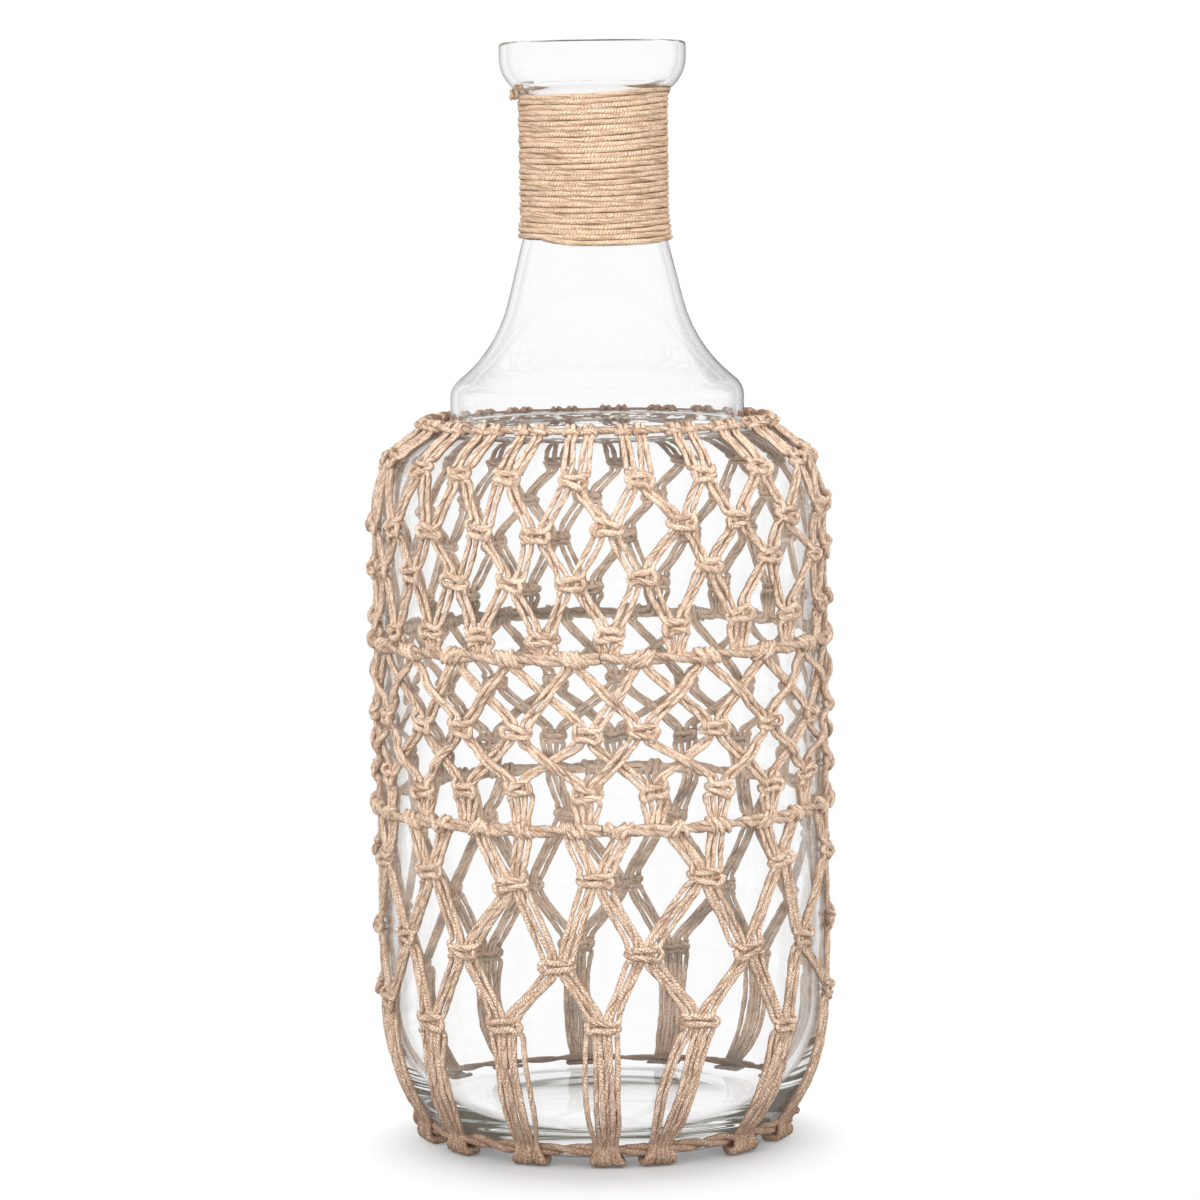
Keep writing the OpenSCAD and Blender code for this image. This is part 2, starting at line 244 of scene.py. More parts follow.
def new_piece(name: str, points: np.ndarray, faces: np.ndarray, smooth: bool = True) -> bpy.types.Object:
    """Makes a mesh object at the origin.

    Args:
        name: Name of the piece.
        points: Vertices, one row each.
        faces: Rows of vertex numbers, four to a face, or three where the fourth is -1.
        smooth: Whether its faces are shaded smooth.

    Returns:
        The new object.
    """
    mesh = bpy.data.meshes.new(name)
    sides = np.where(faces[:, 3] < 0, 3, 4)
    loops = faces[faces >= 0].astype(np.int32)
    mesh.vertices.add(len(points))
    mesh.vertices.foreach_set("co", points.astype(np.float32).ravel())
    mesh.loops.add(len(loops))
    mesh.loops.foreach_set("vertex_index", loops)
    mesh.polygons.add(len(faces))
    starts = np.concatenate([[0], np.cumsum(sides)[:-1]]).astype(np.int32)
    mesh.polygons.foreach_set("loop_start", starts)
    mesh.update(calc_edges=True)
    mesh.validate()
    mesh.polygons.foreach_set("use_smooth", np.full(len(mesh.polygons), smooth))
    piece = bpy.data.objects.new(name, mesh)
    bpy.context.scene.collection.objects.link(piece)
    return piece


def revolve(name: str, line: np.ndarray, turns: int) -> bpy.types.Object:
    """Turns an outline about Z: each point at radius r goes to (r cos a, r sin a, z).

    Args:
        name: Name of the piece.
        line: Radii and heights, from the axis round to the axis.
        turns: Number of steps round the axis.

    Returns:
        The closed surface.
    """
    a = np.linspace(0, 2 * np.pi, turns, endpoint=False)
    r, z = line[1:-1, 0][:, None], line[1:-1, 1][:, None]
    ring = np.stack([r * np.cos(a), r * np.sin(a), z + 0 * a], axis=-1).reshape(-1, 3)
    poles = np.array([[0, 0, line[0, 1]], [0, 0, line[-1, 1]]])
    n = len(line) - 2
    i, j = np.meshgrid(np.arange(n - 1), np.arange(turns), indexing="ij")
    k = (j + 1) % turns
    quads = np.stack([i * turns + j, i * turns + k, (i + 1) * turns + k, (i + 1) * turns + j], -1)
    j, none = np.arange(turns), np.full(turns, -1)
    k, low, top = (j + 1) % turns, n * turns, n * turns + 1
    first = np.column_stack([k, j, none + low + 1, none])
    last = np.column_stack([(n - 1) * turns + j, (n - 1) * turns + k, none + top + 1, none])
    return new_piece(name, np.vstack([ring, poles]), np.vstack([quads.reshape(-1, 4), first, last]))


def smooth_line(points: np.ndarray, count: int, closed: bool = False) -> np.ndarray:
    """Carries a centripetal Catmull-Rom curve through points and spaces it evenly.

    Args:
        points: Rows of coordinates that the curve passes through.
        count: Number of places wanted along the curve.
        closed: Whether the curve joins up with its start.

    Returns:
        Evenly spaced rows.
    """
    p = points
    ends = (p[-1], p[0], p[1]) if closed else (2 * p[0] - p[1], None, None)
    p = np.vstack([ends[0], p, ends[1], ends[2]]) if closed else np.vstack([ends[0], p, 2 * p[-1] - p[-2]])
    knots = np.concatenate([[0], np.cumsum(np.sqrt(np.linalg.norm(np.diff(p, axis=0), axis=1)) + 1e-9)])
    seg = np.repeat(np.arange(1, len(p) - 2), 14)
    u = np.tile(np.linspace(0, 1, 14, endpoint=False), len(p) - 3)
    t0, t1, t2, t3 = (knots[seg + k][:, None] for k in (-1, 0, 1, 2))
    p0, p1, p2, p3 = (p[seg + k] for k in (-1, 0, 1, 2))
    t = t1 + (t2 - t1) * u[:, None]
    a1 = (t1 - t) / (t1 - t0) * p0 + (t - t0) / (t1 - t0) * p1
    a2 = (t2 - t) / (t2 - t1) * p1 + (t - t1) / (t2 - t1) * p2
    a3 = (t3 - t) / (t3 - t2) * p2 + (t - t2) / (t3 - t2) * p3
    b1 = (t2 - t) / (t2 - t0) * a1 + (t - t0) / (t2 - t0) * a2
    b2 = (t3 - t) / (t3 - t1) * a2 + (t - t1) / (t3 - t1) * a3
    curve = np.vstack([(t2 - t) / (t2 - t1) * b1 + (t - t1) / (t2 - t1) * b2, p[-2]])
    way = np.concatenate([[0], np.cumsum(np.linalg.norm(np.diff(curve, axis=0), axis=1))])
    want = np.linspace(0, way[-1], count, endpoint=not closed)
    return np.column_stack([np.interp(want, way, curve[:, k]) for k in range(curve.shape[1])])


@dataclass
class Skin:
    """Skin of one or more cords before it becomes a piece."""

    points: np.ndarray
    faces: np.ndarray
    lay: np.ndarray
    groove_shade: np.ndarray

    def joined(self, other: Skin) -> Skin:
        """One skin of this one and another."""
        moved = np.where(other.faces < 0, -1, other.faces + len(self.points))
        return Skin(np.vstack([self.points, other.points]), np.vstack([self.faces, moved]),
                    np.vstack([self.lay, other.lay]), np.concatenate([self.groove_shade, other.groove_shade]))

    def piece(self, name: str) -> bpy.types.Object:
        """Makes the piece, with its lay attribute and the attribute that holds its share of painted shade in
        the grooves and on the flanks.
        """
        piece = new_piece(name, self.points, self.faces)
        store(piece, "lay", self.lay)
        store(piece, "groove_shade", self.groove_shade)
        return piece


# Depth of a cord's lobes from which the painted shade in the grooves between its plies is at its darkest
FULL_GROOVE = 0.05


@dataclass(frozen=True)
class Cord:
    """A laid cord: plies show as soft lobes that wind round it."""

    radius: float
    ply: Ply
    lay_length: float
    sides: int = 10
    depth: float = 0.05
    wander: float = 0.035
    lumps: float = 0.035

    def sweep(self, path: np.ndarray, seed: int, closed: bool = False) -> Skin:
        """Carries the cord's section along a path.

        The section's radius is r (1 + depth cos(ply (a - w))) at angle a, where the winding w
        grows by a full turn each lay length. Smoothed noise along the path and round the
        section makes it uneven. The section turns as little as it can from ring to ring. The
        share of painted shade, 0.25 - 0.25 cos(ply (a - w)) in the grooves of a cord with lobes,
        or its flank's share if more, is kept for the finish.

        Args:
            path: Evenly spaced places along the cord's middle, with the radius as a fourth
                column where it isn't the cord's own.
            seed: Seed of the cord's own unevenness.
            closed: Whether the cord joins up with its start.

        Returns:
            The cord's closed skin.
        """
        rng = np.random.default_rng(SEED + seed)
        size = path[:, 3] if path.shape[1] > 3 else np.full(len(path), self.radius)
        path, n = path[:, :3], len(path)
        if closed:
            along = np.roll(path, -1, 0) - np.roll(path, 1, 0)
        else:
            along = np.gradient(path, axis=0)
        along /= np.linalg.norm(along, axis=1, keepdims=True)
        side = least_turn(along)
        up = np.cross(along, side)
        way = np.concatenate([[0], np.cumsum(np.linalg.norm(np.diff(path, axis=0), axis=1))])
        length = way[-1] + (np.linalg.norm(path[0] - path[-1]) if closed else 0)
        turns = length / self.lay_length * 2 * np.pi
        if closed:
            lobe_turn, twist = 2 * np.pi / self.ply.value, closing_turn(along, side, up)
            turns = round((turns + twist) / lobe_turn) * lobe_turn - twist
        wind = turns * way / length + rng.uniform(0, 2 * np.pi)
        a = np.linspace(0, 2 * np.pi, self.sides, endpoint=False)
        lobe = np.cos(self.ply.value * (a[None, :] - wind[:, None]))
        wave = 1 + self.wander * soft_noise(rng, n, 1, 5) + self.lumps * soft_noise(rng, n, self.sides, 2)
        r = size[:, None] * wave * (1 + self.depth * (lobe - 0.3))
        ca, sa = np.cos(a)[None, :, None], np.sin(a)[None, :, None]
        points = path[:, None, :] + r[..., None] * (side[:, None, :] * ca + up[:, None, :] * sa)
        own = a[None, :] - wind[:, None]
        start = rng.uniform(0, 9)
        lay = np.stack([np.repeat(way[:, None], self.sides, 1) + start, size[:, None] * np.cos(own),
                        size[:, None] * np.sin(own)], -1).reshape(-1, 3)
        # painted shade: the share of shade that the finish paints between the plies and down the flanks
        ply_groove_shade = (0.25 - 0.25 * lobe) * min(1, self.depth / FULL_GROOVE)
        groove_shade = np.maximum(ply_groove_shade, flank(points, path)).ravel()
        points = points.reshape(-1, 3)
        if not closed:
            ends = [path[0] - along[0] * size[0] * 0.4, path[-1] + along[-1] * size[-1] * 0.4]
            points = np.vstack([points, *ends])
            lay = np.vstack([lay, lay[0], lay[-1]])
            groove_shade = np.r_[groove_shade, 0.5, 0.5]
        return Skin(points, tube_faces(n, self.sides, closed), lay, groove_shade)


def flank(points: np.ndarray, path: np.ndarray) -> np.ndarray:
    """How far down a cord's flank each point lies: 0 on its outer face, 1 from its middle inwards.

    The share is 1.3 less 2.4 times the way out from the middle, as a share of the radius there.
    """
    out = path[:, None, :] * [1, 1, 0]
    out = out / np.linalg.norm(out, axis=2, keepdims=True)
    arm = points - path[:, None, :]
    return np.clip(1.3 - 2.4 * (arm * out).sum(2) / np.linalg.norm(arm, axis=2), 0, 1)


def soft_noise(rng: np.random.Generator, rows: int, columns: int, reach: int) -> np.ndarray:
    """Noise of spread 1, each value the mean of its neighbours up to reach rows away."""
    noise = rng.normal(size=(rows, columns))
    total = sum(np.roll(noise, k, axis=0) for k in range(-reach, reach + 1))
    return np.clip(total / math.sqrt(2 * reach + 1), -2, 2)


def least_turn(along: np.ndarray) -> np.ndarray:
    """Side directions square to a path that turn as little as they can from ring to ring."""
    side = np.empty_like(along)
    first = np.cross(along[0], [0.3, 0.2, 0.93])
    side[0] = first / np.linalg.norm(first)
    for i in range(1, len(along)):
        s = side[i - 1] - along[i] * np.dot(side[i - 1], along[i])
        side[i] = s / np.linalg.norm(s)
    return side


def closing_turn(along: np.ndarray, side: np.ndarray, up: np.ndarray) -> float:
    """Angle from the last ring's section, carried on to the first ring, to the first section."""
    s = side[-1] - along[0] * np.dot(side[-1], along[0])
    return -math.atan2(float(np.dot(s, up[0])), float(np.dot(s, side[0])))


def tube_faces(rings: int, sides: int, closed: bool) -> np.ndarray:
    """Faces of a tube of rings, with a fan on each end unless it is closed."""
    count = rings if closed else rings - 1
    i, j = np.meshgrid(np.arange(count), np.arange(sides), indexing="ij")
    nxt, k = (i + 1) % rings, (j + 1) % sides
    quads = np.stack([i * sides + j, i * sides + k, nxt * sides + k, nxt * sides + j], -1).reshape(-1, 4)
    if closed:
        return quads
    j, none = np.arange(sides), np.full(sides, -1)
    k, last = (j + 1) % sides, (rings - 1) * sides
    start = np.column_stack([k, j, none + 1 + rings * sides, none])
    end = np.column_stack([last + j, last + k, none + 2 + rings * sides, none])
    return np.vstack([quads, start, end])


def store(piece: bpy.types.Object, name: str, values: np.ndarray) -> None:
    """Keeps one value or one vector per vertex on a piece."""
    kind = "FLOAT" if values.ndim == 1 else "FLOAT_VECTOR"
    layer = piece.data.attributes.new(name, kind, "POINT")
    layer.data.foreach_set("value" if values.ndim == 1 else "vector", values.astype(np.float32).ravel())


@dataclass(frozen=True)
class NetPlan:
    """Levels and columns of the net, as in the frame's cords."""

    glass: Glass
    columns: int = 21
    net_turn: float = -1.2
    spread: float = 5.3
    row_tilt: float = 3 * MM
    rim_lift: float = 6 * MM
    rows: tuple[float, ...] = tuple(v * MM for v in (276, 258, 240, 218, 177.5, 153.5, 118.5, 88, 60, 19))
    band_1: float = 206.7 * MM
    band_2: float = 138.7 * MM
    ring_low: float = 20 * MM
    above_floor: float = 2 * MM

    @property
    def ring_top(self) -> float:
        """Level of the shoulder ring."""
        return self.glass.shoulder_z + self.glass.shoulder_r * 1.134

    @property
    def column(self) -> float:
        """Degrees from one upper column to the next."""
        return 360 / self.columns

    @property
    def strand_step(self) -> float:
        """Degrees from one strand to the next, four to an upper column."""
        return self.column / 4

    def round_at(self, t: float) -> float:
        """Turn about the axis in degrees of the place t degrees round the even net."""
        return t + self.net_turn - self.spread * math.sin(math.radians(t + 55))

    def path(self, route: np.ndarray, count: int) -> np.ndarray:
        """Carries a curve through route rows (turn in degrees, level, height, radius) over the glass.

        Args:
            route: Rows of turn about the axis in degrees, level q, height h and cord radius.
            count: Number of places wanted.

        Returns:
            Evenly spaced places in space, with the cord's radius as the fourth column.
        """
        line = smooth_line(route * [self.glass.body_r * np.pi / 180, 1, 1, 1], count)
        a = line[:, 0] / self.glass.body_r
        r, z = self.glass.off_glass(line[:, 1], line[:, 2])
        space = np.column_stack([r * np.sin(a), -r * np.cos(a), np.maximum(z, self.above_floor), line[:, 3]])
        way = np.concatenate([[0], np.cumsum(np.linalg.norm(np.diff(space[:, :3], axis=0), axis=1))])
        want = np.linspace(0, way[-1], count)
        return np.column_stack([np.interp(want, way, space[:, k]) for k in range(4)])


# Loops of the net, as rows of (x to the side, y up, h off the glass) in millimetres and a share of
# the strand's radius. FRONT makes both bars of a square knot and BACK locks them. HITCH goes round a
# band and HEAD over the shoulder ring. FOOT goes round the base ring, with shares of x to the side.
FRONT = np.array([
    (5.0, 3.7, 1.7, 1), (4.7, 2.8, 2.5, 1.1), (2.3, 2.1, 3.1, 1.22), (-2.4, 1.5, 3.2, 1.22),
    (-4.8, 1.0, 2.5, 1.15), (-5.4, 0, 1.8, 1.1), (-4.6, -1.0, 2.5, 1.15), (-2.2, -1.5, 3.2, 1.22),
    (2.3, -1.9, 3.1, 1.22), (4.7, -2.7, 2.5, 1.1), (5.0, -3.9, 1.6, 1)])
BACK = np.array([
    (-5.0, 3.9, 1.8, 1), (-5.1, 2.9, 3.2, 1.05), (-4.5, 1.8, 3.9, 1.1), (-3.6, 0.5, 2.3, 1),
    (-2.0, 0.2, 1.2, 1), (2.0, 0.2, 1.2, 1), (4.1, 0.9, 2.4, 1), (5.3, 0.7, 3.8, 1.1),
    (5.4, -0.8, 3.9, 1.15), (4.7, -2.0, 3.7, 1.1), (3.6, -2.8, 2.2, 1), (2.0, -2.4, 1.2, 1),
    (-2.0, -2.2, 1.2, 1), (-3.9, -2.3, 2.1, 1), (-4.9, -2.9, 2.7, 1), (-5.0, -4.0, 1.6, 1)])
CORE = np.array([(0, 3.6, 1.5, 1), (0, 0, 1.9, 1), (0, -3.8, 1.5, 1)])
HITCH = np.array([
    (-1.6, 0.5, 1.2, 1), (-2.0, -2.4, 2.1, 1), (-1.4, -1.7, 3.7, 1.1), (0, 0.2, 4.1, 1.15),
    (1.4, 1.9, 3.6, 1.1), (2.0, 2.6, 2.1, 1), (1.3, 0.6, 1.2, 1), (0.6, -2.3, 1.2, 1),
    (0.3, -3.6, 1.3, 1)])
HEAD = np.array([
    (0, -2.6, 3.9, 1.05), (1.9, -2.4, 3.3, 1.05), (2.6, -1.2, 1.6, 1), (2.4, 0.8, 1.2, 1),
    (1.8, 2.5, 2.2, 1), (1.2, 1.2, 4.0, 1.05), (1.1, -0.9, 3.9, 1.05), (1.1, -2.6, 1.9, 1),
    (1.1, -5.0, 1.3, 1)])
FOOT = np.array([
    (0.85, 3.6, 2.6, 1), (0.9, 2.0, 4.2, 1.2), (1.15, 0.2, 6.4, 1.3), (1.25, -2.0, 6.8, 1.35),
    (1.25, -3.9, 5.6, 1.3), (1.2, -4.9, 3.2, 1.2), (1, -3.6, 1.3, 1.1)])

# Spread in millimetres of the places at which a loop leaves its even shape
SLACK = 0.28

# Places of the core strands and share of the tying loops' width, by strands in the knot
CORE_PLACES = {4: (-1.7, 1.7), 6: (-3.2, -1.1, 1.1, 3.2)}
KNOT_WIDTH = {4: 1.0, 6: 1.3}

# Heights in millimetres at shares of the way between two knots, lying flat or over a crossing
FLAT = ((0.5, 1.25),)
OVER = ((0.2, 1.4), (0.38, 3.3), (0.62, 3.3), (0.8, 1.4))

# Millimetres to the side by which each row of knots has slipped, the base's knots last
ROW_SLIP = (-1, -1, -1, -1, 1, 2.5, 1.5, 0, 1, 1)

# Further slips of single knots in millimetres (to the side, up), by row and column from the front
SLIPS = {
    0: {-4: (-5.5, 0), -3: (1, 0), -1: (-2.5, 0), 2: (1, 0), 3: (3, 0), 4: (5.5, 0)},
    1: {-0.5: (-2, -1.5), 1.5: (2.5, 1)},
    2: {-2: (0.5, -1.5), -1: (0, -2.5), 0: (-1, -3.5), 1: (-0.5, -2), 2: (0, 1.5), 3: (2, 2), 4: (7, 0)},
    3: {-3.5: (0.5, -2), -1.5: (-1, -0.5), -0.5: (0.5, -2.5), 0.5: (0.5, -2), 2.5: (0, 2.5)},
    4: {-3: (4, 0.5), 0: (2, -1), 1: (-2.5, 0.5)},
    5: {-3: (2, -2), -1: (-1, 1.5), 3: (-2, -1), 4: (-5, 1.5)},
    6: {-1: (2, -2), 0: (-2, 0), 1: (1.5, 0), 2: (-1.5, 3)},
    7: {-2.5: (3.5, 2), -0.5: (3, -3), 0.5: (-2.5, 1.5), 1.5: (2, -1), 2.5: (-6.5, -1)},
    8: {-2: (0, -3), -1: (-1, 0), 1: (-1, 1), 2: (0, -6)},
    9: {-3: (3.5, 0), -2: (-3, 0), -1: (2, 0), 0: (0.5, 0), 1: (-14.5, 0), 2: (-9.5, 0), 3: (-18, 0)},
}


# Millimetres to the side by which strands of the front legs hang apart, by leg and strand
LOOSE = {(-1, 0): 0, (-1, 5): 2.2, (0, 0): -2.4, (0, 5): 0.4,
         (1, 0): -4.2, (1, 1): -3.6, (1, 5): 0.6, (2, 0): -1.5}


@dataclass(frozen=True)
class Spot:
    """Where one knot, hitch or head sits on the glass, and how it leans."""

    glass: Glass
    turn: float
    level: float
    radius: float
    lean: float = 0.0
    size: float = 1.0
    mirrored: bool = False
    seed: int = 0

    def rows(self, loop: np.ndarray, x: float = 0.0, wide: float = 1.0, lift: float = 0.0) -> np.ndarray:
        """Lays a loop on the glass, x millimetres to the side.

        Args:
            loop: Rows of x, y, h in millimetres and share of the radius.
            x: Sideways place of the loop in millimetres.
            wide: Factor of the loop's width, below 0 to mirror it.
            lift: Millimetres by which it lies further off the glass.

        Returns:
            Rows of turn in degrees, level, height and radius.
        """
        rng = np.random.default_rng((self.seed, len(loop), round(100 * abs(x))))
        slack = rng.normal(0, SLACK, (2, len(loop)))
        slack[:, [0, -1]] = 0
        across = (x + loop[:, 0] * wide + slack[0]) * self.size * MM
        up = (loop[:, 1] + slack[1]) * self.size * MM
        side = across * math.cos(self.lean) - up * math.sin(self.lean)
        rise = across * math.sin(self.lean) + up * math.cos(self.lean)
        level = self.level + rise / self.glass.per_level(self.level)
        height = (loop[:, 2] + lift) * MM
        r, _ = self.glass.off_glass(level, height)
        return np.column_stack([self.turn + np.degrees(side / r), level, height, loop[:, 3] * self.radius])

    def knot(self, i: int, n: int, lift: float = 0.0) -> np.ndarray:
        """Rows of strand i among n at a square knot: the outer two tie, the rest are core."""
        flip = -1 if self.mirrored else 1
        if i in (0, n - 1):
            loop = FRONT if (i == 0) == self.mirrored else BACK
            return self.rows(loop, 0, KNOT_WIDTH[n] * flip, lift)
        return self.rows(CORE, CORE_PLACES[n][i - 1], 1, lift)


@dataclass
class Net:
    """The knotted net: forty-two cords, each folded in half over the shoulder ring."""

    plan: NetPlan
    cord: Cord
    rings_per_cord: int = 1500
    left_share: float = 0.7
    rng: np.random.Generator = field(default_factory=lambda: np.random.default_rng(SEED))

    def __post_init__(self) -> None:
        """Draws the unevenness of every knot, so that its strands share it."""
        self.shake = self.rng.uniform(-1, 1, (len(self.plan.rows), 2 * self.plan.columns, 5))

    def spot(self, row: int, column: float) -> Spot:
        """Place of the knot of a row at a column, counted from the front one."""
        plan = self.plan
        low = row > 5
        t = column * plan.column * 1.5 + plan.strand_step if low else column * plan.column
        around = 28 if low else 42
        shake = self.shake[row, round(2 * column) % around]
        dx, dz = SLIPS[row].get(column, (0, 0))
        loose = 0.3 if abs(column) < (4 if low else 5) else 0.9
        turn = plan.round_at(t)
        level = plan.rows[row] + (dz + loose * shake[1]) * MM
        if 0 < row < 4:
            level += plan.row_tilt * math.sin(math.radians(turn))
        if row == 0:
            level += plan.rim_lift * math.sin(math.radians(turn)) ** 2
        turn += math.degrees((ROW_SLIP[row] + dx + loose * shake[0]) * MM / plan.glass.body_r)
        mirrored, seed = bool(shake[4] > 2 * self.left_share - 1), 100 * row + round(2 * column) + 50
        return Spot(plan.glass, turn, level, self.cord.radius, math.radians(12) * shake[2],
                    1 + 0.07 * shake[3], mirrored, seed)

    def even_spot(self, t: float, level: float) -> Spot:
        """Place t degrees round the even net at a level, with no slip or lean."""
        return Spot(self.plan.glass, self.plan.round_at(t), level, self.cord.radius, seed=round(t) + 360)

    def between(self, a: np.ndarray, b: np.ndarray, heights: tuple[tuple[float, float], ...]) -> np.ndarray:
        """Rows on the way from row a to row b, bowed a little to one side.

        Args:
            a: Last row of one knot.
            b: First row of the next.
            heights: Shares of the way and the heights in millimetres there.

        Returns:
            Rows of turn, level, height and radius.
        """
        share, height = np.array(heights).T
        rows = a + (b - a) * share[:, None]
        bow = self.rng.uniform(-0.5, 0.5) * np.sin(np.pi * share)
        rows[:, 0] += np.degrees(bow * MM / self.plan.glass.body_r)
        rows[:, 2], rows[:, 3] = height * MM, self.cord.radius
        return rows

    def hitched(self, last: np.ndarray, middle: float, band: Spot, x: float, flip: int,
                lane: float) -> np.ndarray:
        """Rows of a strand that goes behind a band, runs along it and wraps once round it.

        Args:
            last: Row at which the strand leaves the knot above.
            middle: Turn in degrees of that knot's middle.
            band: Place on the band from which x is measured.
            x: Sideways place of the wrap in millimetres.
            flip: 1 if the wrap slants up to the right, -1 if to the left.
            lane: Millimetres up from the band's middle at which the strand runs behind it.

        Returns:
            Rows of turn, level, height and radius.
        """
        wrap = band.rows(HITCH, x, flip)
        radius = self.cord.radius
        stub = middle + 0.62 * (last[0] - middle)
        above = [stub, band.level + 3.2 * MM, 1.4 * MM, radius]
        behind = [stub + 0.12 * (wrap[0, 0] - stub), band.level + lane * MM, 1.15 * MM, radius]
        along = [stub + 0.8 * (wrap[0, 0] - stub), band.level + lane * MM, 1.15 * MM, radius]
        return np.vstack([above, behind, along, wrap])

    def strand(self, g: int) -> np.ndarray:
        """Rows of strand g from its loop on the shoulder ring down to its end at the base."""
        plan = self.plan
        c, s, u = g // 4, g % 4, g % 6
        front = 0 if c <= plan.columns // 2 else 1
        own, low = c - front * plan.columns, g // 6 - front * plan.columns * 2 // 3
        side = 1 if s > 1 else -1
        swap, low_side, low_swap = s - 2 * side, 1 if u > 2 else -1, (u + 3) % 6
        over = (side < 0) if c == plan.columns - 1 else c % 2 == 0
        lift = OVER if over else FLAT
        slant = 1 if c % 2 else -1
        shared = own + side / 2
        ring = self.even_spot(own * plan.column, plan.ring_top)
        route = ring.rows(HEAD, side * 3.5, 1 if g % 2 else -1)
        for row, column, place in ((0, own, s), (1, shared, swap), (2, own, s), (3, shared, swap)):
            route = self.onward(route, self.spot(row, column).knot(place, 4), FLAT)
        lane = 0.9 if g % 2 else -0.9
        band = self.even_spot(own * plan.column, plan.band_1)
        middle = self.spot(3, shared).turn
        route = np.vstack([route, self.hitched(route[-1], middle, band, (s - 1.5) * 2.3 - 2, slant, lane)])
        route = self.onward(route, self.spot(4, own + side).knot(swap, 4), lift)
        route = self.onward(route, self.spot(5, own).knot(s, 4), lift)
        band = self.even_spot((6 * low + 1) * plan.strand_step, plan.band_2)
        x = low_side * 9 + (u % 3 - 1) * 2.8
        route = np.vstack([route, self.hitched(route[-1], self.spot(5, own).turn, band, x, slant, lane)])
        for row, column, place in ((6, low, u), (7, low + low_side / 2, low_swap), (8, low, u)):
            route = self.onward(route, self.spot(row, column).knot(place, 6), FLAT)
        return np.vstack([route, self.leg(low, u)])

    def onward(self, route: np.ndarray, knot: np.ndarray,
               heights: tuple[tuple[float, float], ...]) -> np.ndarray:
        """Carries a route on to its next knot."""
        return np.vstack([route, self.between(route[-1], knot[0], heights), knot])

    def leg(self, low: int, u: int) -> np.ndarray:
        """Rows of strand u of a leg: side by side in two layers, then once round the base ring."""
        top, foot = self.spot(8, low), self.spot(9, low)
        rows = []
        drawn = self.rng.choice([0, 0, 0.8, 1.6]) * (-1 if u == 0 else 1) if u in (0, 5) else 0.0
        apart = LOOSE.get((low, u), drawn)
        for share, bow in ((0.3, 0.9), (0.5, 1.0), (0.72, 0.45)):
            turn = top.turn + (foot.turn - top.turn) * share
            level = top.level + (foot.level - top.level) * share
            x = (u - 2.5) * 2.05 + self.rng.uniform(-0.35, 0.35) + apart * bow
            height = 1.2 if u % 2 else 1.9
            place = Spot(self.plan.glass, turn, level, self.cord.radius)
            rows.append(place.rows(np.array([(0, 0, height, 1)]), x))
        x = (u - 2.5) * 1.95 + self.rng.uniform(-0.25, 0.25)
        return np.vstack([*rows, replace(foot, lean=0.4 * foot.lean).rows(FOOT, 0, x)])

    def build(self) -> list[bpy.types.Object]:
        """Makes every cord and hides the frame node that each stands for."""
        pieces = []
        for k in range(self.plan.columns * 2):
            route = np.vstack([self.strand(2 * k)[::-1], self.strand(2 * k + 1)[1:]])
            skin = self.cord.sweep(self.plan.path(route, self.rings_per_cord), k)
            piece = skin.piece(f"jute_cord_{k + 1:02d}")
            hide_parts(f"net_cord_{k + 1:02d}")
            pieces.append(piece)
        return pieces


@dataclass(frozen=True)
class RingCord:
    """A ring round the bottle, of one cord or of two that lie one above the other."""

    node: str
    level: float
    height: float
    cord: Cord
    doubled: bool
    twists: int = 14

    def build(self, glass: Glass, seed: int) -> bpy.types.Object:
        """Makes the ring: it waves a little up and down, and the cords of a doubled one twist."""
        a = np.linspace(0, 2 * np.pi, 900, endpoint=False)
        wave = (0.25 * np.sin(9 * a + seed) + 0.2 * np.sin(23 * a + 2 * seed)) * MM
        twist = self.twists * a + 0.6 * np.sin(5 * a + seed)
        apart = self.cord.radius * 0.8 if self.doubled else 0.0
        skin = None
        for way in ((1, -1) if self.doubled else (1,)):
            q = self.level + wave + way * apart * np.cos(twist) / glass.per_level(self.level)
            r, z = glass.off_glass(q, self.height + way * apart * np.sin(twist))
            path = np.column_stack([r * np.sin(a), -r * np.cos(a), z])
            part = self.cord.sweep(path, 100 + 7 * seed + way, closed=True)
            skin = skin.joined(part) if skin else part
        piece = skin.piece(f"{self.node}_cord")
        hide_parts(self.node)
        return piece


def ring_cords(plan: NetPlan) -> list[bpy.types.Object]:
    """Makes the shoulder ring, the two bands and the base ring."""
    thick = Cord(radius=1.45 * MM, ply=Ply.THREE, lay_length=16 * MM, lumps=0.05)
    thin = Cord(radius=1.45 * MM, ply=Ply.TWO, lay_length=14 * MM, lumps=0.06)
    rings = [RingCord("shoulder_ring", plan.ring_top, 2.4 * MM, thick, False),
             RingCord("upper_band", plan.band_1, 2.7 * MM, thin, True),
             RingCord("lower_band", plan.band_2, 2.7 * MM, thin, True),
             RingCord("base_ring", plan.ring_low, 2.4 * MM, thin, True)]
    return [ring.build(plan.glass, seed) for seed, ring in enumerate(rings)]


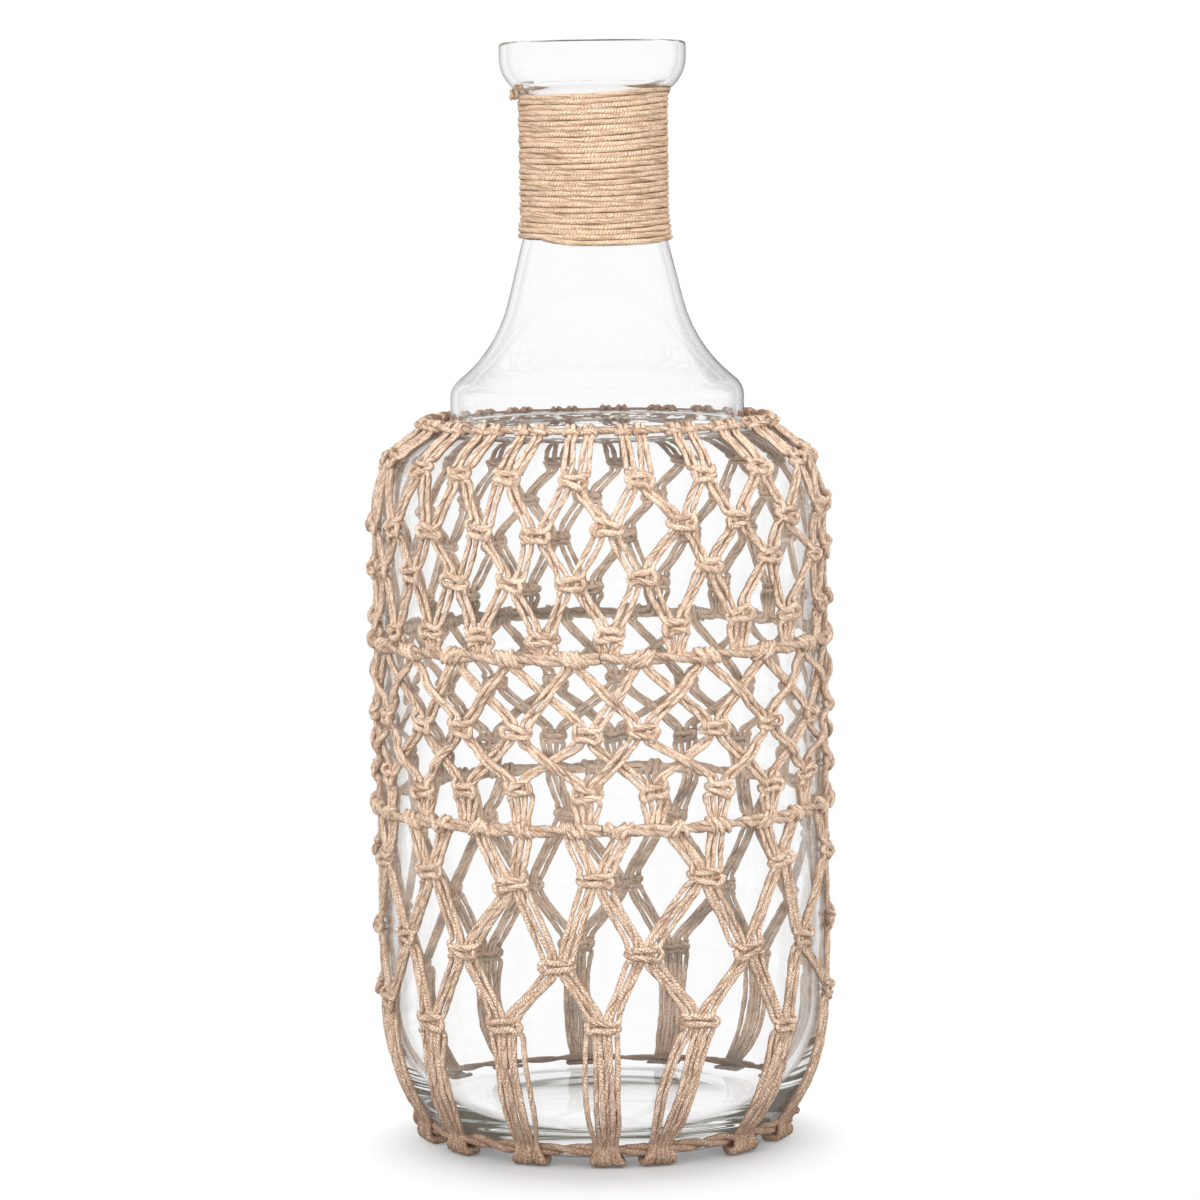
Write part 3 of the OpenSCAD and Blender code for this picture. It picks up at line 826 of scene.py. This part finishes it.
@dataclass
class NeckTwine:
    """One length of twine wound tightly round the neck, with a small knotted end at the top."""

    glass: Glass
    cord: Cord
    turns: int = 27
    pitch: float = 2.2 * MM
    front_z: float = 427.9 * MM
    top_tilt: float = 1.1 * MM
    side_rise: float = 1.45 * MM
    back_drop: float = 7.5 * MM
    end_turn: float = 0.75

    def build(self) -> bpy.types.Object:
        """Winds the twine.

        Its height falls by one pitch a turn from the first turn's height at the front, and rises
        to both sides by side_rise times the square of the sideways share of the radius. The top
        turns also rise to the right and drop at the back. The last turn ends end_turn radians
        past the front, where it tucks under the turn above. The radius follows the glass.
        """
        start = -np.pi / 2 + 0.4
        a = np.linspace(start, 2 * np.pi * self.turns + np.pi + self.end_turn, 5750)
        side = np.sin(a)
        share = (a - a[0]) / (a[-1] - a[0])
        z = self.front_z - self.pitch * (a - np.pi) / (2 * np.pi)
        z += self.side_rise * side**2 + self.top_tilt * side * (1 - 1.3 * share)
        z -= self.back_drop * np.clip(np.cos(a), 0, 1) * (1 - share)
        z += (0.11 * np.sin(3.13 * a + 0.4) + 0.12 * np.sin(1.37 * a) + 0.06 * np.sin(7.7 * a)) * MM
        tuck = np.clip(1 - (a[-1] - a) / 0.6, 0, 1) ** 2
        z += 0.75 * self.pitch * tuck
        lie = self.cord.radius + (0.2 + 0.17 * np.sin(2.31 * a) + 0.12 * np.sin(5.3 * a) - 0.3 * tuck) * MM
        r = self.glass.neck_at(z) + lie
        skin = self.cord.sweep(np.column_stack([r * np.sin(a), r * np.cos(a), z]), 300)
        thin = Cord(self.cord.radius * 0.66, Ply.TWO, self.cord.lay_length, depth=0.15)
        piece = skin.joined(thin.sweep(smooth_line(KNOTTED_END * MM, 90), 301)).piece("neck_twine_wrap")
        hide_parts("neck_wrap")
        return piece


# The twine's knotted end at the top left of the wrap, in millimetres
KNOTTED_END = np.array([
    (-27.0, 15.0, 429.6), (-29.9, 8.0, 429.9), (-31.4, 2.0, 429.6), (-32.8, -2.6, 429.3),
    (-33.3, -4.8, 428.0), (-31.4, -5.4, 427.6), (-30.8, -3.4, 429.2), (-32.2, -2.2, 430.7),
    (-33.2, -4.0, 430.2), (-32.6, -6.0, 428.4), (-33.6, -6.6, 427.2)])


def add_node(tree: bpy.types.NodeTree, kind: str,
             values: dict[str | int, object] | None = None) -> bpy.types.Node:
    """Adds a shader node and sets values on its input sockets."""
    node = tree.nodes.new(kind)
    for key, value in (values or {}).items():
        node.inputs[key].default_value = value
    return node


def add_math(tree: bpy.types.NodeTree, operation: str, first: object, second: object) -> bpy.types.NodeSocket:
    """Adds a sum of two values, each a socket or a number, and gives its result."""
    node = tree.nodes.new("ShaderNodeMath")
    node.operation = operation
    for slot, value in enumerate((first, second)):
        if isinstance(value, bpy.types.NodeSocket):
            tree.links.new(value, node.inputs[slot])
        else:
            node.inputs[slot].default_value = value
    return node.outputs[0]


def add_range(tree: bpy.types.NodeTree, value: bpy.types.NodeSocket,
              span: tuple[float, float, float, float]) -> bpy.types.NodeSocket:
    """Adds a map from one range of values, held at its ends, to another and gives its result."""
    names = ("From Min", "From Max", "To Min", "To Max")
    node = add_node(tree, "ShaderNodeMapRange", dict(zip(names, span)))
    tree.links.new(value, node.inputs["Value"])
    return node.outputs["Result"]


def add_mix(tree: bpy.types.NodeTree, share: bpy.types.NodeSocket, first: object,
            second: object) -> bpy.types.NodeSocket:
    """Adds a mix of two colours, each a socket or red, green and blue, and gives its result."""
    node = tree.nodes.new("ShaderNodeMix")
    node.data_type = "RGBA"
    tree.links.new(share, node.inputs["Factor"])
    for name, value in (("A", first), ("B", second)):
        if isinstance(value, bpy.types.NodeSocket):
            tree.links.new(value, node.inputs[name])
        else:
            node.inputs[name].default_value = (*value, 1)
    return node.outputs["Result"]


# Yarns twisted into a cord, and radians by which their lines advance in a metre
YARNS = 4
YARN_WAVES = 2 * math.pi / (1.25 * MM)


@dataclass(frozen=True)
class JuteFinish:
    """Dull plant fibre: streaks along the lay, with painted shade in the grooves between the plies and down
    the flanks.
    """

    name: str
    light: tuple[float, float, float]
    dark: tuple[float, float, float]
    shade: tuple[float, float, float]
    ticks: float

    def material(self) -> bpy.types.Material:
        """Builds the finish from the piece's lay attribute and its attribute of painted shade."""
        mat = bpy.data.materials.new(self.name)
        mat.use_nodes = True
        tree = mat.node_tree
        shader = tree.nodes["Principled BSDF"]
        shader.inputs["Roughness"].default_value = 0.9
        shader.inputs["Specular IOR Level"].default_value = 0.12
        fibre = tree.nodes.new("ShaderNodeGroup")
        fibre.node_tree = fibre_group()
        for name, value in (("Light", self.light), ("Dark", self.dark), ("Shade", self.shade)):
            fibre.inputs[name].default_value = (*value, 1)
        fibre.inputs["Ticks"].default_value = self.ticks
        tree.links.new(fibre.outputs["Colour"], shader.inputs["Base Color"])
        tree.links.new(fibre.outputs["Normal"], shader.inputs["Normal"])
        return mat


def lay_noise(tree: bpy.types.NodeTree, lay: bpy.types.NodeSocket, scale: tuple[float, float, float],
              detail: float, span: tuple[float, float] = (0.32, 0.68)) -> bpy.types.NodeSocket:
    """Noise over a cord's lay or an object's place, stretched by scale, with span spread to 0 to 1."""
    place = add_node(tree, "ShaderNodeMapping", {"Scale": scale})
    tree.links.new(lay, place.inputs["Vector"])
    noise = add_node(tree, "ShaderNodeTexNoise", {"Scale": 1.0, "Detail": detail})
    tree.links.new(place.outputs["Vector"], noise.inputs["Vector"])
    return add_range(tree, noise.outputs["Fac"], (*span, 0.0, 1.0))


def yarn_ticks(tree: bpy.types.NodeTree, lay: bpy.types.NodeSocket,
               shift: bpy.types.NodeSocket) -> bpy.types.NodeSocket:
    """Thin lines that wind round the cord as its twisted yarns do.

    Their depth is the sine of YARN_WAVES times the way along, YARNS times the angle round and
    the shift that makes them uneven, where that sine is below -0.1.
    """
    axes = tree.nodes.new("ShaderNodeSeparateXYZ")
    tree.links.new(lay, axes.inputs[0])
    angle = add_math(tree, "ARCTAN2", axes.outputs["Z"], axes.outputs["Y"])
    along = add_math(tree, "MULTIPLY", axes.outputs["X"], YARN_WAVES)
    turn = add_math(tree, "ADD", along, add_math(tree, "MULTIPLY", angle, YARNS))
    uneven = add_math(tree, "ADD", turn, add_math(tree, "MULTIPLY", shift, 24.0))
    return add_range(tree, add_math(tree, "SINE", uneven, 0.0), (-1.0, -0.1, 1.0, 0.0))


def painted_cord_shade(tree: bpy.types.NodeTree, groove_shade: bpy.types.NodeSocket,
                lay: bpy.types.NodeSocket) -> bpy.types.NodeSocket:
    """Painted shade of a cord's flank and of the grooves between its plies, deeper on some stretches than on
    others, and lighter on its inner side.
    """
    flank = add_range(tree, groove_shade, (0.3, 0.75, 0.0, 0.85))
    stretch = add_range(tree, lay_noise(tree, lay, (45, 0, 0), 1.0), (0.3, 0.9, 0.35, 1.0))
    inner = add_range(tree, groove_shade, (0.9, 1.0, 0.85, 0.42))
    return add_math(tree, "MINIMUM", add_math(tree, "MULTIPLY", flank, stretch), inner)


def fibre_group() -> bpy.types.NodeTree:
    """Node group of laid fibre: long and short streaks, patches and the yarn's ticks mix its colours, and
    painted shade darkens its grooves and flanks, the cords near the floor and their inner faces at the
    shoulder.
    """
    if "laid_fibre" in bpy.data.node_groups:
        return bpy.data.node_groups["laid_fibre"]
    tree = bpy.data.node_groups.new("laid_fibre", "ShaderNodeTree")
    face = tree.interface
    for name in ("Light", "Dark", "Shade"):
        face.new_socket(name=name, in_out="INPUT", socket_type="NodeSocketColor")
    face.new_socket(name="Ticks", in_out="INPUT", socket_type="NodeSocketFloat")
    face.new_socket(name="Colour", in_out="OUTPUT", socket_type="NodeSocketColor")
    face.new_socket(name="Normal", in_out="OUTPUT", socket_type="NodeSocketVector")
    enter, leave = tree.nodes.new("NodeGroupInput"), tree.nodes.new("NodeGroupOutput")
    attribute, groove_shade = tree.nodes.new("ShaderNodeAttribute"), tree.nodes.new("ShaderNodeAttribute")
    attribute.attribute_name, groove_shade.attribute_name = "lay", "groove_shade"
    lay = attribute.outputs["Vector"]
    place, axes = tree.nodes.new("ShaderNodeTexCoord"), tree.nodes.new("ShaderNodeSeparateXYZ")
    tree.links.new(place.outputs["Object"], axes.inputs[0])
    height = axes.outputs["Z"]
    streak = lay_noise(tree, lay, (480, 1150, 1150), 3.0)
    patch = lay_noise(tree, lay, (150, 420, 420), 2.0)
    strand = lay_noise(tree, lay, (80, 1300, 1300), 1.0)
    fine, broad = add_math(tree, "MULTIPLY", streak, 0.65), add_math(tree, "MULTIPLY", patch, 0.35)
    share = add_range(tree, add_math(tree, "ADD", fine, broad), (0.25, 0.6, 0.0, 1.0))
    tone = add_mix(tree, share, enter.outputs["Dark"], enter.outputs["Light"])
    fade = add_range(tree, height, (0.09, 0.13, 1.0, 0.55))
    shown = add_math(tree, "MULTIPLY", enter.outputs["Ticks"], fade)
    ticks = add_math(tree, "MULTIPLY", yarn_ticks(tree, lay, broad), shown)
    lines = add_range(tree, strand, (0.0, 0.45, 0.75, 0.0))
    # deep is the darkest of the yarn's ticks, the lines of grain and the painted shade of the grooves and
    # flanks
    deep = add_math(tree, "MAXIMUM", add_math(tree, "MAXIMUM", ticks, lines),
                    painted_cord_shade(tree, groove_shade.outputs["Fac"], lay))
    # painted shade: the cords darken towards the floor, below 3 cm
    painted_foot_shade = add_range(tree, height, (0.008, 0.03, 0.55, 0.0))
    # painted shade on the cords' faces that lie against the glass, from 27 cm up
    hidden = add_range(tree, groove_shade.outputs["Fac"], (0.85, 1.0, 0.0, 1.0))
    under = add_math(tree, "MULTIPLY", hidden, add_range(tree, height, (0.272, 0.29, 0.0, 0.7)))
    grained_and_groove_shaded = add_mix(tree, deep, tone, enter.outputs["Shade"])
    # the painted shade near the floor and at the shoulder is mixed in over the fibre's colour
    painted_shade_colour = add_mix(tree, add_math(tree, "MAXIMUM", painted_foot_shade, under), grained_and_groove_shaded, enter.outputs["Shade"])
    tree.links.new(painted_shade_colour, leave.inputs["Colour"])
    bump = add_node(tree, "ShaderNodeBump", {"Strength": 0.7, "Distance": 0.18 * MM})
    relief = add_math(tree, "ADD", add_math(tree, "MULTIPLY", strand, 0.6), fine)
    tree.links.new(add_math(tree, "SUBTRACT", relief, ticks), bump.inputs["Height"])
    tree.links.new(bump.outputs["Normal"], leave.inputs["Normal"])
    return tree


@dataclass(frozen=True)
class GlassFinish:
    """Clear colourless polished glass."""

    tint: tuple[float, float, float] = (0.995, 0.997, 0.997)
    painted_edge_shade: tuple[float, float, float] = (0.6, 0.6, 0.62)
    # Colours of the glowing painted reflections that end long inner reflections
    painted_reflection_dark: tuple[float, float, float] = (0.13, 0.12, 0.09)
    painted_reflection_brown: tuple[float, float, float] = (0.24, 0.17, 0.12)
    painted_reflection_light: tuple[float, float, float] = (0.95, 0.95, 0.93)
    shine: float = 0.5
    passed: float = 0.9
    deepest: float = 5.5

    def material(self) -> bpy.types.Material:
        """Builds the finish, with painted shade at its edges and a slow ripple in the surface as blown glass
        has.
        """
        mat = bpy.data.materials.new("clear_glass")
        mat.use_nodes = True
        tree = mat.node_tree
        shader = tree.nodes["Principled BSDF"]
        # painted shade: the glass greys where its face turns from the camera, standing in for dark
        # reflections at its edges
        slant = add_node(tree, "ShaderNodeLayerWeight", {"Blend": 0.5})
        share = add_range(tree, slant.outputs["Facing"], (0.6, 0.92, 0.0, 1.0))
        tree.links.new(add_mix(tree, share, self.tint, self.painted_edge_shade), shader.inputs["Base Color"])
        shader.inputs["Roughness"].default_value = 0.0
        shader.inputs["Specular Tint"].default_value = (*[self.shine] * 3, 1)
        shader.inputs["IOR"].default_value = 1.5
        shader.inputs["Transmission Weight"].default_value = 1.0
        place = tree.nodes.new("ShaderNodeTexCoord")
        ripple = add_node(tree, "ShaderNodeTexNoise", {"Scale": 22.0, "Detail": 1.0})
        tree.links.new(place.outputs["Object"], ripple.inputs["Vector"])
        bump = add_node(tree, "ShaderNodeBump", {"Strength": 0.08, "Distance": 1.2 * MM})
        tree.links.new(ripple.outputs["Fac"], bump.inputs["Height"])
        tree.links.new(bump.outputs["Normal"], shader.inputs["Normal"])
        self.let_light_through(tree, shader)
        return mat

    def let_light_through(self, tree: bpy.types.NodeTree, shader: bpy.types.Node) -> None:
        """Lets a share of the lamps' light pass, and ends long inner reflections in glowing streaks of
        painted reflection.

        The streaks run round the bottle, darkest at the foot, and up and down it under the drum.
        """
        path = tree.nodes.new("ShaderNodeLightPath")
        clear = add_node(tree, "ShaderNodeBsdfTransparent", {"Color": (*[self.passed] * 3, 1)})
        passing = tree.nodes.new("ShaderNodeMixShader")
        tree.links.new(path.outputs["Is Shadow Ray"], passing.inputs["Fac"])
        tree.links.new(shader.outputs[0], passing.inputs[1])
        tree.links.new(clear.outputs[0], passing.inputs[2])
        deep = tree.nodes.new("ShaderNodeMixShader")
        late = add_math(tree, "GREATER_THAN", path.outputs["Ray Depth"], self.deepest)
        tree.links.new(late, deep.inputs["Fac"])
        tree.links.new(passing.outputs[0], deep.inputs[1])
        place = tree.nodes.new("ShaderNodeTexCoord")
        axes = tree.nodes.new("ShaderNodeSeparateXYZ")
        tree.links.new(place.outputs["Object"], axes.inputs[0])
        foot = add_range(tree, axes.outputs["Z"], (0.009, 0.02, -0.05, 0.04))
        band = lay_noise(tree, place.outputs["Object"], (9, 9, 420), 2.0, (0.0, 1.0))
        share = add_range(tree, add_math(tree, "ADD", band, foot), (0.45, 0.54, 0.0, 1.0))
        low = add_mix(tree, share, self.painted_reflection_dark, self.painted_reflection_light)
        pillar = lay_noise(tree, place.outputs["Object"], (260, 260, 12), 2.0, (0.5, 0.6))
        high = add_mix(tree, pillar, self.painted_reflection_brown, self.painted_reflection_light)
        # painted reflection: the streaks glow, though the glass is no lamp
        grey = tree.nodes.new("ShaderNodeEmission")
        drum = add_range(tree, axes.outputs["Z"], (0.27, 0.28, 0.0, 1.0))
        tree.links.new(add_mix(tree, drum, low, high), grey.inputs["Color"])
        tree.links.new(grey.outputs[0], deep.inputs[2])
        tree.links.new(deep.outputs[0], tree.nodes["Material Output"].inputs["Surface"])


@dataclass(frozen=True)
class Studio:
    """White studio: the photograph's camera, soft lamps, a pale floor and a white world."""

    image: float = 1200.0
    focal_px: float = 4250.0
    distance: float = 1.750
    eye_height: float = 0.395
    look_down: float = 5.68
    roll: float = 0.82
    sensor: float = 36.0
    floor_r: float = 0.6
    # Centre in y and fade radii of the painted shadow disc on the floor
    shadow_y: float = -0.035
    shadow_fade: tuple[float, float] = (0.062, 0.1)
    level: float = 0.6
    gloss_level: float = 0.75
    card_y: float = 0.5
    card_z: tuple[float, float] = (0.12, 0.8)

    def camera(self) -> None:
        """Places the camera at the photograph's viewing angle."""
        data = bpy.data.cameras.new("camera")
        data.sensor_width = self.sensor
        data.lens = self.sensor * self.focal_px / self.image
        data.clip_end = 30
        eye = bpy.data.objects.new("camera", data)
        p, k = math.radians(self.look_down), math.radians(self.roll)
        ahead = Vector((0, math.cos(p), -math.sin(p)))
        flat, tall = Vector((1, 0, 0)), Vector((0, math.sin(p), math.cos(p)))
        right = flat * math.cos(k) - tall * math.sin(k)
        up = tall * math.cos(k) + flat * math.sin(k)
        turn = Matrix((right, up, -ahead)).transposed()
        eye.matrix_world = Matrix.Translation((0, -self.distance, self.eye_height)) @ turn.to_4x4()
        bpy.context.scene.collection.objects.link(eye)
        bpy.context.scene.camera = eye

    def lamp(self, name: str, place: tuple[float, float, float], size: float, power: float) -> None:
        """Hangs one square lamp that faces the bottle's middle and that gloss doesn't show."""
        data = bpy.data.lights.new(name, "AREA")
        data.size, data.energy = size, power
        lamp = bpy.data.objects.new(name, data)
        lamp.location = place
        aim = Vector((0, 0, 0.2)) - Vector(place)
        lamp.rotation_euler = aim.to_track_quat("-Z", "Y").to_euler()
        lamp.visible_glossy = lamp.visible_transmission = False
        bpy.context.scene.collection.objects.link(lamp)

    def world(self) -> None:
        """Plain world light that the camera and glass see as white, and gloss as a little less."""
        world = bpy.data.worlds.new("studio")
        bpy.context.scene.world = world
        world.use_nodes = True
        tree = world.node_tree
        back = tree.nodes["Background"]
        back.inputs["Color"].default_value = (1, 1, 1, 1)
        path = tree.nodes.new("ShaderNodeLightPath")
        gloss = add_range(tree, path.outputs["Is Glossy Ray"], (0, 1, self.level, self.gloss_level))
        seen = add_range(tree, seen_ray(tree, True), (0, 1, 0.0, 1.0))
        level = add_math(tree, "MAXIMUM", gloss, seen)
        tree.links.new(level, back.inputs["Strength"])

    def floor(self) -> None:
        """Pale floor: near the bottle it is lit and keeps the real shadow, deepened by a painted contact
        shadow and a painted shadow disc in front of the bottle; beyond the disc it glows white, and glass
        sees it as white.
        """
        a = np.linspace(0, 2 * np.pi, 96, endpoint=False)
        rim = np.column_stack([self.floor_r * np.cos(a), self.floor_r * np.sin(a), 0 * a])
        j, none = np.arange(96), np.full(96, -1)
        fan = np.column_stack([j, (j + 1) % 96, none + 97, none])
        floor = new_piece("floor", np.vstack([rim, [[0, 0, 0]]]), fan)
        mat = bpy.data.materials.new("floor")
        mat.use_nodes = True
        tree = mat.node_tree
        tree.nodes.remove(tree.nodes["Principled BSDF"])
        path = tree.nodes.new("ShaderNodeLightPath")
        dull = tree.nodes.new("ShaderNodeBsdfDiffuse")
        # painted shadow: inside the disc the camera sees the lit floor's colour at 0.7, and bounced light
        # finds it at 0.4
        tone = add_range(tree, path.outputs["Is Camera Ray"], (0, 1, 0.4, 0.7))
        # painted contact shadow: occlusion darkens the floor's colour next to the bottle
        open_sky = add_node(tree, "ShaderNodeAmbientOcclusion", {"Distance": 0.05})
        painted_contact_shadow = add_range(tree, open_sky.outputs["AO"], (0.2, 0.9, 0.7, 1.0))
        tree.links.new(add_math(tree, "MULTIPLY", tone, painted_contact_shadow), dull.inputs["Color"])
        glow = tree.nodes.new("ShaderNodeEmission")
        faint = add_node(tree, "ShaderNodeEmission", {"Strength": 0.1})
        near = tree.nodes.new("ShaderNodeAddShader")
        tree.links.new(dull.outputs[0], near.inputs[0])
        tree.links.new(faint.outputs[0], near.inputs[1])
        place, far = tree.nodes.new("ShaderNodeTexCoord"), tree.nodes.new("ShaderNodeVectorMath")
        far.operation = "DISTANCE"
        far.inputs[1].default_value = (0, self.shadow_y, 0)
        tree.links.new(place.outputs["Object"], far.inputs[0])
        # the painted shadow disc fades into the white floor between its two radii
        edge = add_range(tree, far.outputs["Value"], (*self.shadow_fade, 0.0, 1.0))
        plain = add_math(tree, "MULTIPLY", edge, path.outputs["Is Camera Ray"])
        share = add_math(tree, "MAXIMUM", plain, seen_ray(tree, False))
        mix = tree.nodes.new("ShaderNodeMixShader")
        tree.links.new(share, mix.inputs["Fac"])
        tree.links.new(near.outputs[0], mix.inputs[1])
        tree.links.new(glow.outputs[0], mix.inputs[2])
        tree.links.new(mix.outputs[0], tree.nodes["Material Output"].inputs["Surface"])
        floor.data.materials.append(mat)

    def card(self, name: str, span_x: tuple[float, float], grey: float) -> None:
        """Hangs a grey card behind the bottle, which only gloss shows: it darkens the glass's edges."""
        (x0, x1), (low, top), y = span_x, self.card_z, self.card_y
        corners = np.array([(x0, y, low), (x1, y, low), (x1, y, top), (x0, y, top)])
        card = new_piece(name, corners, np.arange(4)[None, :])
        mat = bpy.data.materials.new(name)
        mat.use_nodes = True
        tree = mat.node_tree
        tree.nodes.remove(tree.nodes["Principled BSDF"])
        glow = add_node(tree, "ShaderNodeEmission", {"Color": (grey, grey, grey, 1)})
        tree.links.new(glow.outputs[0], tree.nodes["Material Output"].inputs["Surface"])
        card.data.materials.append(mat)
        card.visible_camera = card.visible_diffuse = card.visible_transmission = card.visible_shadow = False

    def build(self) -> None:
        """Sets up the whole studio."""
        self.card("left_card", (-0.3, -0.08), 0.4)
        self.card("right_card", (0.08, 0.75), 0.05)
        self.camera()
        self.world()
        self.floor()
        self.lamp("key", (-1.2, -1.2, 1.3), 1.2, 16.3)
        self.lamp("fill", (1.4, -1.1, 1.1), 1.4, 15.5)
        self.lamp("front", (-0.2, -2.2, 0.9), 1.4, 16.5)
        self.lamp("top", (0.05, 0.5, 1.8), 1.0, 3)
        bpy.context.scene.view_settings.view_transform = "Standard"


def seen_ray(tree: bpy.types.NodeTree, camera: bool) -> bpy.types.NodeSocket:
    """Value that is 1 on rays of glass, and of the camera if asked, and 0 on the rest."""
    path = tree.nodes.new("ShaderNodeLightPath")
    glass = path.outputs["Is Transmission Ray"]
    return add_math(tree, "MAXIMUM", glass, path.outputs["Is Camera Ray"]) if camera else glass


def dress(piece: bpy.types.Object, mat: bpy.types.Material) -> None:
    """Gives a piece its finish in its one material slot, and its body."""
    piece.data.materials.clear()
    piece.data.materials.append(mat)
    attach(piece, "root")
    LOG.info("%s: %d faces", piece.name, len(piece.data.polygons))


def main() -> None:
    """Builds the bottle, its cords and the studio over the frame."""
    logging.basicConfig(level=logging.INFO, format="%(message)s")
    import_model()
    glass = Glass()
    plan = NetPlan(glass)
    bottle = revolve("bottle_glass", glass.outline(), glass.turns)
    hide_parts("glass_bottle")
    dress(bottle, GlassFinish().material())
    net = Net(plan, Cord(radius=1.12 * MM, ply=Ply.TWO, lay_length=20 * MM, lumps=0.07))
    jute = JuteFinish(name="jute_net", light=(1.0, 0.79, 0.615), dark=(0.66, 0.455, 0.325),
                      shade=(0.22, 0.115, 0.07), ticks=0.75)
    thick_jute = replace(jute, name="jute_rings", light=(0.86, 0.68, 0.53), dark=(0.57, 0.395, 0.28))
    for finish, pieces in ((jute, net.build()), (thick_jute, ring_cords(plan))):
        mat = finish.material()
        for piece in pieces:
            dress(piece, mat)
    twine = NeckTwine(glass, Cord(radius=1.16 * MM, ply=Ply.TWO, lay_length=70 * MM, depth=0.01, lumps=0.05))
    gold = JuteFinish(name="neck_twine", light=(0.98, 0.74, 0.54), dark=(0.73, 0.515, 0.36),
                      shade=(0.3, 0.18, 0.1), ticks=1.3).material()
    dress(twine.build(), gold)
    Studio().build()


if __name__ == "__main__":
    main()
